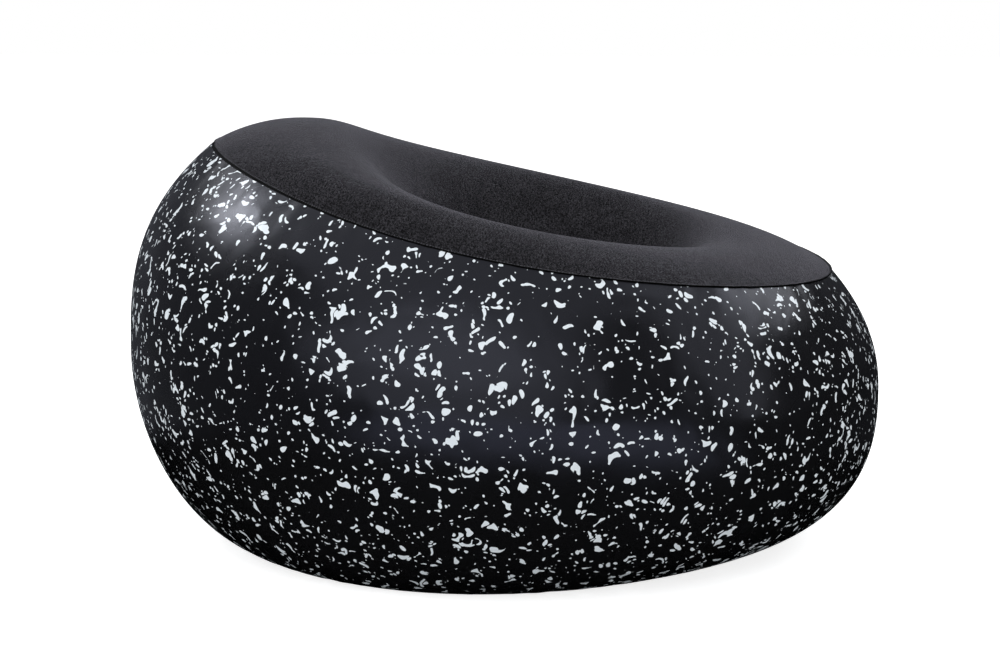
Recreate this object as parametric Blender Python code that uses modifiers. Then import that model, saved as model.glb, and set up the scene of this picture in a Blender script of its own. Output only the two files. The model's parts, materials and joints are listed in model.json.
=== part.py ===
"""An inflatable chair: a round air chair welded from thin sheet, with a low front and a high back.

The chair stands on the floor at the origin. Its front faces -Y, its back +Y, and it is held in
shape by air, by the welds between its sheets and by a tube that ties the seat to the base.
"""

import math

import bmesh
import bpy
from mathutils import Matrix, Vector

# Sheets
SHEET = 0.0004
GAP = 0.0003
SEGMENTS = 48

# Wall: the round band between the floor and the seat. The swells are half-way to the back
SWELL_SHARE = 2.6
BELLY_RADIUS = 0.560
SEAM_RADIUS_FRONT = 0.485
SEAM_RADIUS_SIDE = 0.454
SEAM_RADIUS_BACK = 0.432
SEAM_RADIUS_SWELL = -0.014
SEAM_HEIGHT_FRONT = 0.405
SEAM_HEIGHT_SIDE = 0.474
SEAM_HEIGHT_BACK = 0.593
SEAM_HEIGHT_SWELL = -0.005
FOOT_RADIUS_FRONT = 0.297
FOOT_RADIUS_SIDE = 0.392
FOOT_RADIUS_BACK = 0.378
BELLY_HEIGHT_SHARES = (0.557, 0.567, 0.477)
LOWER_ROUNDNESS_SHARES = (2.475, 1.55, 1.836)
UPPER_ROUNDNESS_SHARES = (2.20, 1.81, 2.98)
LOWER_TURN_SHARES = (0.20, 0.38, 0.54, 0.74, 1.0)
UPPER_RISE_SHARES = (0.28, 0.54, 0.78)

# Welds
SEAM_LIP = 0.0035
LAP = 0.012

# Seat: the crest round its edge, then the hollow down to the weld ring
CREST_RISE_FRONT = 0.045
CREST_RISE_SIDE = 0.039
CREST_RISE_BACK = 0.030
CREST_RISE_SWELL = 0.004
CREST_PLACE_SHARES = (0.443, 0.235, 0.330, -0.035)
CREST_ROUNDNESS_SHARES = (2.03, 1.93, 2.19)
HOLLOW_ROUNDNESS_SHARES = (2.10, 1.71, 2.70, 0.16)
HOLLOW_STEP_SHARES = (0.18, 0.36, 0.54, 0.70, 0.85, 1.0)
HOLLOW_SHIFT = -0.045
HOLLOW_FLOOR = 0.200
LAND_OUTER_RADIUS = 0.105
LAND_WIDTH = 0.020
FLOOR_DOME = 0.012
DOME_RING_SHARE = 0.55

# Base: flat on the floor, pulled up into a dimple by the tie tube
DIMPLE_RADIUS = 0.200
DIMPLE_HEIGHT = 0.022
DIMPLE_SAG = 0.009
DIMPLE_STEP_SHARES = (0.0, 0.36, 0.70)
DIMPLE_ROUNDNESS_SHARE = 1.7

# Tie tube and its rings
RING_THICKNESS = 0.0005
RING_MARGIN = 0.006
VENT_RADIUS = 0.0125
VENT_COUNT = 6
VENT_FACETS = 16

# Valve: turned pieces, measured outward from the wall's outer face
VALVE_FACET = 20
VALVE_STEPS = 32
COLLAR_RADIUS = 0.0170
COLLAR_WALL = 0.0025
COLLAR_OUT = 0.0090
COLLAR_IN = 0.0060
FLANGE_RADIUS = 0.0270
FLANGE_THICKNESS = 0.0012
HOLE_CLEARANCE = 0.0005
THREAD_PITCH = 0.0040
THREAD_DEPTH = 0.0012
THREAD_WIDTH = 0.0016
THREAD_CREST_SHARE = 0.5
THREAD_STEPS = 24
CAP_THREAD_SHARE = 0.75
THREAD_START = 0.0038
THREAD_SINK = 0.0003
THREAD_CLEARANCE = 0.0004
CREST_CLEARANCE = 0.0005

INSERT_CLEARANCE = 0.0009
INSERT_WALL = 0.0026
INSERT_IN = 0.0090
RIM_THICKNESS = 0.0015
GROOVE_DEPTH = 0.0012
GROOVE_WIDTH = 0.0024
GROOVE_PLACE = 0.0032
SEAL_FACETS = 8

FLAP_RADIUS = 0.0122
FLAP_THICKNESS = 0.0012
FLAP_TAB_REACH = 0.0036
FLAP_TAB_SINK = 0.0003
HINGE_PLACE = 0.0135
HINGE_DROP = 0.0022
KNUCKLE_RADIUS = 0.0018
PIN_RADIUS = 0.0008
PIN_CLEARANCE = 0.0003
PIN_FACETS = 16
EAR_INNER = 0.0050
EAR_THICKNESS = 0.0020
EAR_START = 0.0115
EAR_ROOT = 0.0010
KNUCKLE_CLEARANCE = 0.0004

CAP_WALL = 0.0024
CAP_TOP = 0.0020
CAP_BEVEL = 0.0010
CAP_FOOT_CLEARANCE = 0.0003
CAP_ROOM = 0.0014
RIB_COUNT = 12
RIB_RADIUS = 0.0008
RIB_FACETS = 6
RIB_MARGIN = 0.0015
BUTTON_NECK_RADIUS = 0.0040
BUTTON_HEAD_RADIUS = 0.0060
BUTTON_NECK_LENGTH = 0.0018
BUTTON_HEAD_THICKNESS = 0.0015
BUTTON_BEVEL = 0.0006
GASKET_THICKNESS = 0.0008
GASKET_BORE = 0.0112

STRAP_THICKNESS = 0.0010
STRAP_WIDTH = 0.0060
STRAP_BAND_SHARE = 0.8
STRAP_EYE_RADIUS = 0.0080
STRAP_EYE_CLEARANCE = 0.0004
STRAP_BEND = 0.0060
STRAP_BEND_STEPS = 8
ANCHOR_THICKNESS = 0.0012
ANCHOR_WIDTH = 0.0032
TAB_REACH = 0.0030
TAB_INSET = 0.0003

# Overrun of cuts, and the angle from which an edge stays sharp
CUT = 0.0020
SHARP_DEGREES = 35

# Places that follow from the sizes above
LAP_HEIGHT = SHEET + GAP
LAND_INNER_RADIUS = LAND_OUTER_RADIUS - LAND_WIDTH
SEAT_RING_TOP = HOLLOW_FLOOR - SHEET - GAP
TUBE_TOP = SEAT_RING_TOP - RING_THICKNESS - GAP
BASE_RING_BOTTOM = DIMPLE_HEIGHT + SHEET + GAP
TUBE_BOTTOM = BASE_RING_BOTTOM + RING_THICKNESS + GAP
COLLAR_BORE = COLLAR_RADIUS - COLLAR_WALL
FLANGE_TOP = -SHEET - GAP
FLANGE_BOTTOM = FLANGE_TOP - FLANGE_THICKNESS
INSERT_RADIUS = COLLAR_BORE - INSERT_CLEARANCE
INSERT_BORE = INSERT_RADIUS - INSERT_WALL
RIM_BOTTOM = COLLAR_OUT + GAP
RIM_TOP = RIM_BOTTOM + RIM_THICKNESS
GROOVE_RADIUS = INSERT_RADIUS - GROOVE_DEPTH
FLAP_TOP = -INSERT_IN - GAP
HINGE_LEVEL = -INSERT_IN - HINGE_DROP
CAP_BORE = COLLAR_RADIUS + THREAD_DEPTH + THREAD_CLEARANCE
CAP_RADIUS = CAP_BORE + CAP_WALL
ANCHOR_TOP = GAP + ANCHOR_THICKNESS
CAP_FOOT = ANCHOR_TOP + CAP_FOOT_CLEARANCE
CAP_CEILING = RIM_TOP + CAP_ROOM
CAP_HEIGHT = CAP_CEILING + CAP_TOP
STRAP_LOW = CAP_HEIGHT + GAP
STRAP_MIDDLE = STRAP_LOW + STRAP_THICKNESS / 2
ALONG_X = Matrix.Rotation(math.pi / 2, 4, "Y")


def around(angle, front, side, back, swell=0.0):
    """A value that runs smoothly from the front (angle 0) past the sides to the back.

    It is larger by swell half-way from a side to the back, and as much smaller before the side.
    """
    rear = -math.cos(angle)
    even = side + (back - front) / 2 * rear + ((front + back) / 2 - side) * rear * rear
    return even + swell * SWELL_SHARE * (rear - rear ** 3)


def outward(angle):
    """The level direction away from the middle; angle 0 is the front, a quarter turn is +X."""
    return Vector((math.sin(angle), -math.cos(angle), 0))


def segment_angle(column):
    """The angle of one corner of the round sheets; each facet's middle lies on a whole step."""
    return (column - 0.5) * math.tau / SEGMENTS


def meridian(angle, radius, height):
    """The point at a radius and height in the upright plane at an angle."""
    return outward(angle) * radius + Vector((0, 0, height))


def hollow_ring(angle, radius, height):
    """A point on a circle round the middle of the hollow, which lies in front of the chair's."""
    return Vector((0, HOLLOW_SHIFT, 0)) + meridian(angle, radius, height)


def seam_radius(angle):
    return around(
        angle, SEAM_RADIUS_FRONT, SEAM_RADIUS_SIDE, SEAM_RADIUS_BACK, SEAM_RADIUS_SWELL
    )


def seam_height(angle):
    return around(
        angle, SEAM_HEIGHT_FRONT, SEAM_HEIGHT_SIDE, SEAM_HEIGHT_BACK, SEAM_HEIGHT_SWELL
    )


def foot_radius(angle):
    return around(angle, FOOT_RADIUS_FRONT, FOOT_RADIUS_SIDE, FOOT_RADIUS_BACK)


def belly_height(angle):
    return around(angle, *BELLY_HEIGHT_SHARES) * seam_height(angle)


def crest_rise(angle):
    return around(angle, CREST_RISE_FRONT, CREST_RISE_SIDE, CREST_RISE_BACK, CREST_RISE_SWELL)


def wall_lower(angle, share):
    """The wall from its foot (share 0) to the belly (share 1)."""
    power = 2 / around(angle, *LOWER_ROUNDNESS_SHARES)
    turn = share * math.pi / 2
    foot = foot_radius(angle)
    radius = foot + (BELLY_RADIUS - foot) * math.sin(turn) ** power
    rise = 1 - max(math.cos(turn), 0) ** power
    return meridian(angle, radius, LAP_HEIGHT + (belly_height(angle) - LAP_HEIGHT) * rise)


def wall_upper(angle, share):
    """The wall from the belly (share 0) to the seam (share 1)."""
    draw = share ** around(angle, *UPPER_ROUNDNESS_SHARES)
    radius = BELLY_RADIUS + (seam_radius(angle) - BELLY_RADIUS) * draw
    height = belly_height(angle) + (seam_height(angle) - belly_height(angle)) * share
    return meridian(angle, radius, height)


def seat_point(angle, share):
    """The seat from the seam (share 0) over the crest and down to the weld ring (share 1)."""
    crest = around(angle, *CREST_PLACE_SHARES)
    top = seam_height(angle) + crest_rise(angle)
    plan = meridian(angle, seam_radius(angle), 0).lerp(
        hollow_ring(angle, LAND_OUTER_RADIUS, 0), share
    )
    if share < crest:
        up = ((crest - share) / crest) ** around(angle, *CREST_ROUNDNESS_SHARES)
        plan.z = top - crest_rise(angle) * up
    else:
        down = ((share - crest) / (1 - crest)) ** around(angle, *HOLLOW_ROUNDNESS_SHARES)
        plan.z = top - (top - HOLLOW_FLOOR) * down
    return plan


def seam_frame(angle):
    """The seam's middle, the way its lip points and the way across the lip, towards the seat."""
    crest = around(angle, *CREST_PLACE_SHARES)
    wall_run = seam_radius(angle) - BELLY_RADIUS
    wall_rise = seam_height(angle) - belly_height(angle)
    wall_way = Vector((wall_run * around(angle, *UPPER_ROUNDNESS_SHARES), wall_rise)).normalized()
    seat_run = hollow_ring(angle, LAND_OUTER_RADIUS, 0).dot(outward(angle)) - seam_radius(angle)
    seat_rise = around(angle, *CREST_ROUNDNESS_SHARES) * crest_rise(angle) / crest
    seat_way = Vector((seat_run, seat_rise)).normalized()
    across = (wall_way + seat_way).normalized()
    return (
        meridian(angle, seam_radius(angle), seam_height(angle)),
        meridian(angle, across.y, -across.x),
        meridian(angle, across.x, across.y),
    )


def seam_edge(angle, side, reach):
    """A point of one sheet's lip; side is -1 on the wall and 1 on the seat."""
    middle, lip, across = seam_frame(angle)
    return middle + across * side * (SHEET + GAP / 2) + lip * reach


def wall_rows():
    """The wall's rows of points, bottom to top, each as a function of the angle."""
    rows = [lambda angle: meridian(angle, foot_radius(angle) - LAP, LAP_HEIGHT)]
    rows.append(lambda angle: wall_lower(angle, 0))
    rows += [lambda angle, s=s: wall_lower(angle, s) for s in LOWER_TURN_SHARES]
    rows += [lambda angle, s=s: wall_upper(angle, s) for s in UPPER_RISE_SHARES]
    rows.append(lambda angle: seam_edge(angle, -1, 0))
    rows.append(lambda angle: seam_edge(angle, -1, SEAM_LIP))
    return rows


def seat_rows():
    """The seat's rows of points, from its lip to its middle."""
    rows = [lambda angle: seam_edge(angle, 1, SEAM_LIP), lambda angle: seam_edge(angle, 1, 0)]
    rows.append(lambda angle: seat_point(angle, around(angle, *CREST_PLACE_SHARES) / 2))
    rows.append(lambda angle: seat_point(angle, around(angle, *CREST_PLACE_SHARES)))
    for share in HOLLOW_STEP_SHARES:
        rows.append(lambda angle, s=share: seat_point(angle, hollow_share(angle, s)))
    rows.append(lambda angle: hollow_ring(angle, LAND_INNER_RADIUS, HOLLOW_FLOOR))
    dome_ring = HOLLOW_FLOOR + FLOOR_DOME * (1 - DOME_RING_SHARE ** 2)
    rows.append(lambda angle: hollow_ring(angle, LAND_INNER_RADIUS * DOME_RING_SHARE, dome_ring))
    rows.append(lambda angle: hollow_ring(angle, 0, HOLLOW_FLOOR + FLOOR_DOME))
    return rows


def hollow_share(angle, share):
    """A share of the way from the crest to the weld ring, as a share of the whole seat."""
    crest = around(angle, *CREST_PLACE_SHARES)
    return crest + (1 - crest) * share


def base_rows():
    """The base's rows of points, from its middle to its edge under the wall."""
    middle = DIMPLE_HEIGHT - DIMPLE_SAG
    rows = [lambda angle: hollow_ring(angle, 0, middle)]
    rows.append(lambda angle: hollow_ring(angle, LAND_INNER_RADIUS, DIMPLE_HEIGHT))
    rows.append(lambda angle: hollow_ring(angle, LAND_OUTER_RADIUS, DIMPLE_HEIGHT))
    for share in reversed(DIMPLE_STEP_SHARES):
        radius = DIMPLE_RADIUS + (LAND_OUTER_RADIUS - DIMPLE_RADIUS) * share
        height = DIMPLE_HEIGHT * share ** DIMPLE_ROUNDNESS_SHARE
        rows.append(lambda angle, r=radius, h=height: hollow_ring(angle, r, h))
    rows.append(lambda angle: meridian(angle, foot_radius(angle), 0))
    return rows


def tube_rows():
    """The tie tube's inner face, from the edge of its upper flange to that of its lower one."""
    return [
        lambda angle: hollow_ring(angle, LAND_OUTER_RADIUS, TUBE_TOP),
        lambda angle: hollow_ring(angle, LAND_INNER_RADIUS, TUBE_TOP),
        lambda angle: hollow_ring(angle, LAND_INNER_RADIUS, TUBE_BOTTOM),
        lambda angle: hollow_ring(angle, LAND_OUTER_RADIUS, TUBE_BOTTOM),
    ]


def clear_scene():
    for old in list(bpy.data.objects):
        bpy.data.objects.remove(old)
    for old in list(bpy.data.collections):
        bpy.data.collections.remove(old)


def new_collection(name):
    collection = bpy.data.collections.new(name)
    bpy.context.scene.collection.children.link(collection)
    return collection


def material(name, colour, roughness, metallic=0.0):
    made = bpy.data.materials.new(name)
    made.use_nodes = True
    shader = made.node_tree.nodes["Principled BSDF"]
    shader.inputs["Base Color"].default_value = (*colour, 1.0)
    shader.inputs["Roughness"].default_value = roughness
    shader.inputs["Metallic"].default_value = metallic
    return made


def add_object(name, bm, collection, finish=None, parent=None):
    """Turns a bmesh into a named object, smooth but for its sharp edges."""
    mesh = bpy.data.meshes.new(name)
    bm.to_mesh(mesh)
    bm.free()
    mesh.shade_smooth()
    mesh.set_sharp_from_angle(angle=math.radians(SHARP_DEGREES))
    thing = bpy.data.objects.new(name, mesh)
    collection.objects.link(thing)
    if finish:
        mesh.materials.append(finish)
    if parent:
        thing.parent = parent
    return thing


def solidify(thing, thickness, offset=-1):
    shell = thing.modifiers.new("Thickness", "SOLIDIFY")
    shell.thickness = thickness
    shell.offset = offset
    shell.use_even_offset = True


def round_sheet(rows, flat_corners=(), flat_plane=None):
    """A grid wrapped once round the chair, one row of corners for each function in rows.

    The corners named in flat_corners are laid on flat_plane, a point and a normal.
    """
    bm = bmesh.new()
    last = len(rows) - 1
    bmesh.ops.create_grid(bm, x_segments=SEGMENTS, y_segments=last, size=1)
    for corner in bm.verts:
        column = round((corner.co.x + 1) / 2 * SEGMENTS) % SEGMENTS
        row = round((corner.co.y + 1) / 2 * last)
        corner.co = rows[row](segment_angle(column))
        if (column, row) in flat_corners:
            place, normal = flat_plane
            corner.co -= normal * (corner.co - place).dot(normal)
    bmesh.ops.remove_doubles(bm, verts=bm.verts, dist=GAP / 10)
    return bm


def turned(outline, start=0.0, steps=VALVE_STEPS):
    """A shape turned round local Z from (radius, height) points that run clockwise."""
    bm = bmesh.new()
    corners = [bm.verts.new((radius, 0, height)) for radius, height in outline]
    edges = [bm.edges.new(pair) for pair in zip(corners, corners[1:])]
    if outline[0][0] > 0:
        edges.append(bm.edges.new((corners[-1], corners[0])))
    bmesh.ops.rotate(bm, verts=bm.verts, matrix=Matrix.Rotation(start, 3, "Z"))
    bmesh.ops.spin(
        bm, geom=corners + edges, cent=(0, 0, 0), axis=(0, 0, 1), angle=math.tau,
        steps=steps, use_merge=True, use_duplicate=False,
    )
    bmesh.ops.remove_doubles(bm, verts=bm.verts, dist=GAP / 10)
    bmesh.ops.recalc_face_normals(bm, faces=bm.faces)
    return bm


def helix_ridge(root, crest, middle, start, turns):
    """A thread ridge swept up a right-hand helix; root and crest are radii, either way round."""
    bm = bmesh.new()
    half_root = THREAD_WIDTH / 2
    half_crest = half_root * THREAD_CREST_SHARE
    outline = [(root, -half_root), (crest, -half_crest), (crest, half_crest), (root, half_root)]
    base = middle + THREAD_PITCH * start / math.tau
    corners = [bm.verts.new((radius, 0, base + height)) for radius, height in outline]
    face = bm.faces.new(corners)
    bmesh.ops.rotate(bm, verts=bm.verts, matrix=Matrix.Rotation(start, 3, "Z"))
    steps = round(turns * THREAD_STEPS)
    bmesh.ops.spin(
        bm, geom=corners + list(face.edges) + [face], cent=(0, 0, 0), axis=(0, 0, 1),
        dvec=(0, 0, THREAD_PITCH * turns / steps), angle=turns * math.tau, steps=steps,
        use_duplicate=False,
    )
    bmesh.ops.remove_doubles(bm, verts=bm.verts, dist=GAP / 10)
    bmesh.ops.recalc_face_normals(bm, faces=bm.faces)
    return bm


def block(low, high):
    """A box between two corners."""
    bm = bmesh.new()
    size = Vector(high) - Vector(low)
    place = (Vector(high) + Vector(low)) / 2
    bmesh.ops.create_cube(bm, size=1, matrix=Matrix.Translation(place) @ Matrix.Diagonal((*size, 1)))
    return bm


def rod(radius, half_length, place, turn, segments):
    """A cylinder centred on a place, with its axis turned from local Z."""
    bm = bmesh.new()
    bmesh.ops.create_cone(
        bm, cap_ends=True, segments=segments, radius1=radius, radius2=radius,
        depth=2 * half_length, matrix=Matrix.Translation(place) @ turn,
    )
    return bm


def boolean(thing, operation, name, bm, cutters, parent=None):
    """Joins or cuts an object by a bmesh, which becomes a hidden cutter."""
    cutter = add_object(name, bm, cutters, parent=parent)
    cutter.hide_render = True
    cutter.display_type = "WIRE"
    step = thing.modifiers.new(name, "BOOLEAN")
    step.operation = operation
    step.object = cutter
    step.solver = "EXACT"
    return cutter


def valve_seat():
    """The wall facet that carries the valve: its corners, its middle and its axes."""
    rows = wall_rows()
    low = 1 + len(LOWER_TURN_SHARES) - 2
    high = low + 1
    named = [(VALVE_FACET, low), (VALVE_FACET + 1, low), (VALVE_FACET + 1, high), (VALVE_FACET, high)]
    places = [rows[row](segment_angle(column)) for column, row in named]
    middle = sum(places, Vector()) / len(places)
    normal = (places[2] - places[0]).cross(places[3] - places[1]).normalized()
    level = Vector((0, 0, 1)).cross(normal).normalized()
    frame = Matrix((level, normal.cross(level), normal)).transposed().to_4x4()
    frame.translation = middle
    return named, frame


def make_sheets():
    wall = add_object("side_wall", round_sheet(wall_rows(), valve_corners, valve_plane), chair, wall_pvc)
    solidify(wall, SHEET)
    hole = rod(COLLAR_RADIUS + HOLE_CLEARANCE, CUT, Vector(), Matrix(), VALVE_STEPS)
    boolean(wall, "DIFFERENCE", "valve_hole_cutter", hole, cutters, valve)
    seat = add_object("seat_sheet", round_sheet(seat_rows()), chair, flock)
    solidify(seat, SHEET)
    base = add_object("base_sheet", round_sheet(base_rows()), chair, base_pvc)
    solidify(base, SHEET)


def make_tether():
    tube = add_object("tether_tube", round_sheet(tube_rows()), chair, tie_pvc)
    solidify(tube, SHEET)
    middle = (TUBE_TOP + TUBE_BOTTOM) / 2
    for index in range(VENT_COUNT // 2):
        turn = Matrix.Rotation(index * math.tau / VENT_COUNT, 4, "Z") @ ALONG_X
        vent = rod(VENT_RADIUS, LAND_OUTER_RADIUS, (0, HOLLOW_SHIFT, middle), turn, VENT_FACETS)
        boolean(tube, "DIFFERENCE", f"vent_cutter_{index + 1}", vent, cutters)
    for name, low in (
        ("seat_reinforcing_ring", SEAT_RING_TOP - RING_THICKNESS),
        ("base_reinforcing_ring", BASE_RING_BOTTOM),
    ):
        high = low + RING_THICKNESS
        outer = LAND_OUTER_RADIUS + RING_MARGIN
        inner = LAND_INNER_RADIUS
        outline = [(outer, high), (outer, low), (inner, low), (inner, high)]
        ring = add_object(name, turned(outline, steps=SEGMENTS), chair, base_pvc)
        ring.location.y = HOLLOW_SHIFT


def make_valve_base():
    outline = [
        (COLLAR_RADIUS, COLLAR_OUT),
        (COLLAR_RADIUS, FLANGE_TOP),
        (FLANGE_RADIUS, FLANGE_TOP),
        (FLANGE_RADIUS, FLANGE_BOTTOM),
        (COLLAR_RADIUS, FLANGE_BOTTOM),
        (COLLAR_RADIUS, -COLLAR_IN),
        (COLLAR_BORE, -COLLAR_IN),
        (COLLAR_BORE, COLLAR_OUT),
    ]
    base = add_object("valve_base", turned(outline), chair, valve_black, valve)
    ridge = helix_ridge(COLLAR_RADIUS - THREAD_SINK, COLLAR_RADIUS + THREAD_DEPTH, THREAD_START, 0, 1)
    boolean(base, "UNION", "base_thread", ridge, cutters, valve)


def make_valve_insert():
    half = GROOVE_WIDTH / 2
    outline = [
        (COLLAR_RADIUS, RIM_TOP),
        (COLLAR_RADIUS, RIM_BOTTOM),
        (INSERT_RADIUS, RIM_BOTTOM),
        (INSERT_RADIUS, GROOVE_PLACE + half),
        (GROOVE_RADIUS, GROOVE_PLACE + half),
        (GROOVE_RADIUS, GROOVE_PLACE - half),
        (INSERT_RADIUS, GROOVE_PLACE - half),
        (INSERT_RADIUS, -INSERT_IN),
        (INSERT_BORE, -INSERT_IN),
        (INSERT_BORE, RIM_TOP),
    ]
    insert = add_object("valve_insert", turned(outline), chair, valve_grey, valve)
    hole = PIN_RADIUS + PIN_CLEARANCE
    for side, name in ((-1, "left"), (1, "right")):
        inner = side * EAR_INNER
        outer = side * (EAR_INNER + EAR_THICKNESS)
        low = (min(inner, outer), EAR_START, HINGE_LEVEL)
        high = (max(inner, outer), HINGE_PLACE + KNUCKLE_RADIUS, -INSERT_IN + EAR_ROOT)
        boolean(insert, "UNION", f"ear_{name}", block(low, high), cutters, valve)
        middle = ((inner + outer) / 2, HINGE_PLACE, HINGE_LEVEL)
        eye = rod(KNUCKLE_RADIUS, EAR_THICKNESS / 2, middle, ALONG_X, PIN_FACETS)
        boolean(insert, "UNION", f"ear_eye_{name}", eye, cutters, valve)
    bore = rod(hole, CAP_RADIUS, (0, HINGE_PLACE, HINGE_LEVEL), ALONG_X, PIN_FACETS)
    boolean(insert, "DIFFERENCE", "ear_bore_cutter", bore, cutters, valve)

    section = (COLLAR_BORE - GROOVE_RADIUS) / 2 - GAP
    major = (COLLAR_BORE + GROOVE_RADIUS) / 2
    turns = [-index * math.tau / SEAL_FACETS for index in range(SEAL_FACETS)]
    ring = [
        (major + section * math.cos(turn), GROOVE_PLACE + section * math.sin(turn))
        for turn in turns
    ]
    add_object("insert_seal", turned(ring), chair, soft_rubber, valve)


def make_flap():
    """The flap has its own origin on its hinge pin, so that it can swing there."""
    hinge = bpy.data.objects.new("flap_hinge", None)
    chair.objects.link(hinge)
    hinge.parent = valve
    hinge.location = (0, HINGE_PLACE, HINGE_LEVEL)
    middle = (0, -HINGE_PLACE, FLAP_TOP - FLAP_THICKNESS / 2 - HINGE_LEVEL)
    disc = rod(FLAP_RADIUS, FLAP_THICKNESS / 2, middle, Matrix(), VALVE_STEPS)
    flap = add_object("check_flap", disc, chair, soft_rubber, hinge)
    half = EAR_INNER - KNUCKLE_CLEARANCE
    tab_top = FLAP_TOP - HINGE_LEVEL - FLAP_TAB_SINK
    tab = block((-half, -FLAP_TAB_REACH, tab_top - FLAP_THICKNESS), (half, 0, tab_top))
    boolean(flap, "UNION", "flap_tab", tab, cutters, hinge)
    knuckle = rod(KNUCKLE_RADIUS, half, (0, 0, 0), ALONG_X, PIN_FACETS)
    boolean(flap, "UNION", "flap_knuckle", knuckle, cutters, hinge)
    bore = rod(PIN_RADIUS + PIN_CLEARANCE, half + CUT, (0, 0, 0), ALONG_X, PIN_FACETS)
    boolean(flap, "DIFFERENCE", "knuckle_bore_cutter", bore, cutters, hinge)
    length = EAR_INNER + EAR_THICKNESS + PIN_CLEARANCE
    pin = rod(PIN_RADIUS, length, (0, 0, 0), ALONG_X, PIN_FACETS)
    add_object("flap_pin", pin, chair, pin_steel, hinge)


def make_cap():
    neck_top = CAP_HEIGHT + BUTTON_NECK_LENGTH
    head_top = neck_top + BUTTON_HEAD_THICKNESS
    outline = [
        (0, head_top),
        (BUTTON_HEAD_RADIUS - BUTTON_BEVEL, head_top),
        (BUTTON_HEAD_RADIUS, head_top - BUTTON_BEVEL),
        (BUTTON_HEAD_RADIUS, neck_top),
        (BUTTON_NECK_RADIUS, neck_top),
        (BUTTON_NECK_RADIUS, CAP_HEIGHT),
        (CAP_RADIUS - CAP_BEVEL, CAP_HEIGHT),
        (CAP_RADIUS, CAP_HEIGHT - CAP_BEVEL),
        (CAP_RADIUS, CAP_FOOT),
        (CAP_BORE, CAP_FOOT),
        (CAP_BORE, CAP_CEILING),
        (0, CAP_CEILING),
    ]
    cap = add_object("valve_cap", turned(outline), chair, valve_black, valve)
    crest = COLLAR_RADIUS + CREST_CLEARANCE
    between = THREAD_START - THREAD_PITCH / 2
    ridge = helix_ridge(CAP_BORE + THREAD_SINK, crest, between, math.pi, CAP_THREAD_SHARE)
    boolean(cap, "UNION", "cap_thread", ridge, cutters, valve)
    rib_height = (CAP_HEIGHT - CAP_FOOT) / 2 - RIB_MARGIN
    ribs = bmesh.new()
    for index in range(RIB_COUNT):
        angle = (index + 0.5) * math.tau / RIB_COUNT
        place = outward(angle) * CAP_RADIUS + Vector((0, 0, (CAP_HEIGHT + CAP_FOOT) / 2))
        bmesh.ops.create_cone(
            ribs, cap_ends=True, segments=RIB_FACETS, radius1=RIB_RADIUS, radius2=RIB_RADIUS,
            depth=2 * rib_height, matrix=Matrix.Translation(place),
        )
    boolean(cap, "UNION", "cap_ribs", ribs, cutters, valve)

    low = RIM_TOP + GAP
    outer = CAP_BORE - HOLE_CLEARANCE
    outline = [
        (outer, low + GASKET_THICKNESS),
        (outer, low),
        (GASKET_BORE, low),
        (GASKET_BORE, low + GASKET_THICKNESS),
    ]
    add_object("cap_gasket", turned(outline), chair, soft_rubber, valve)


def make_strap():
    """A flat eye round the cap's button, and a band that bends down to the anchor's tab."""
    eye = BUTTON_NECK_RADIUS + STRAP_EYE_CLEARANCE
    high = STRAP_LOW + STRAP_THICKNESS
    outline = [(STRAP_EYE_RADIUS, high), (STRAP_EYE_RADIUS, STRAP_LOW), (eye, STRAP_LOW), (eye, high)]
    strap = add_object("cap_strap", turned(outline), chair, soft_rubber, valve)
    path = [(eye + STRAP_THICKNESS, STRAP_MIDDLE)]
    for step in range(STRAP_BEND_STEPS + 1):
        turn = step * math.pi / 2 / STRAP_BEND_STEPS
        reach = CAP_RADIUS + STRAP_BEND * math.sin(turn)
        path.append((reach, STRAP_MIDDLE - STRAP_BEND * (1 - math.cos(turn))))
    path.append((CAP_RADIUS + STRAP_BEND, ANCHOR_TOP + GAP))
    last = len(path) - 1
    band = bmesh.new()
    bmesh.ops.create_grid(band, x_segments=last, y_segments=1, size=1)
    for corner in band.verts:
        reach, height = path[round((corner.co.x + 1) / 2 * last)]
        corner.co = (reach, corner.co.y * STRAP_WIDTH / 2, height)
    ribbon = boolean(strap, "UNION", "strap_band", band, cutters, valve)
    solidify(ribbon, STRAP_THICKNESS * STRAP_BAND_SHARE, 0)

    bore = COLLAR_RADIUS + GAP
    outer = bore + ANCHOR_WIDTH
    outline = [(outer, ANCHOR_TOP), (outer, GAP), (bore, GAP), (bore, ANCHOR_TOP)]
    anchor = add_object("strap_anchor_ring", turned(outline), chair, soft_rubber, valve)
    low = (outer - ANCHOR_WIDTH / 2, -STRAP_WIDTH / 2, GAP + TAB_INSET)
    high = (CAP_RADIUS + STRAP_BEND + TAB_REACH, STRAP_WIDTH / 2, ANCHOR_TOP - TAB_INSET)
    boolean(anchor, "UNION", "anchor_tab", block(low, high), cutters, valve)


clear_scene()
chair = new_collection("inflatable_chair")
cutters = new_collection("cutters")

wall_pvc = material("patterned_pvc", (0.012, 0.012, 0.016), 0.30)
base_pvc = material("plain_pvc", (0.010, 0.010, 0.011), 0.38)
flock = material("flocked_pvc", (0.030, 0.029, 0.032), 0.95)
tie_pvc = material("tie_pvc", (0.060, 0.062, 0.066), 0.35)
valve_black = material("valve_plastic", (0.020, 0.020, 0.022), 0.40)
valve_grey = material("valve_insert_plastic", (0.180, 0.185, 0.195), 0.45)
soft_rubber = material("valve_rubber", (0.035, 0.035, 0.036), 0.70)
pin_steel = material("pin_steel", (0.560, 0.570, 0.580), 0.30, 1.0)

valve_corners, valve_matrix = valve_seat()
valve = bpy.data.objects.new("valve_place", None)
chair.objects.link(valve)
valve.matrix_world = valve_matrix
valve_plane = (valve_matrix.translation, valve_matrix.col[2].to_3d())

make_sheets()
make_tether()
make_valve_base()
make_valve_insert()
make_flap()
make_cap()
make_strap()
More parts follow.
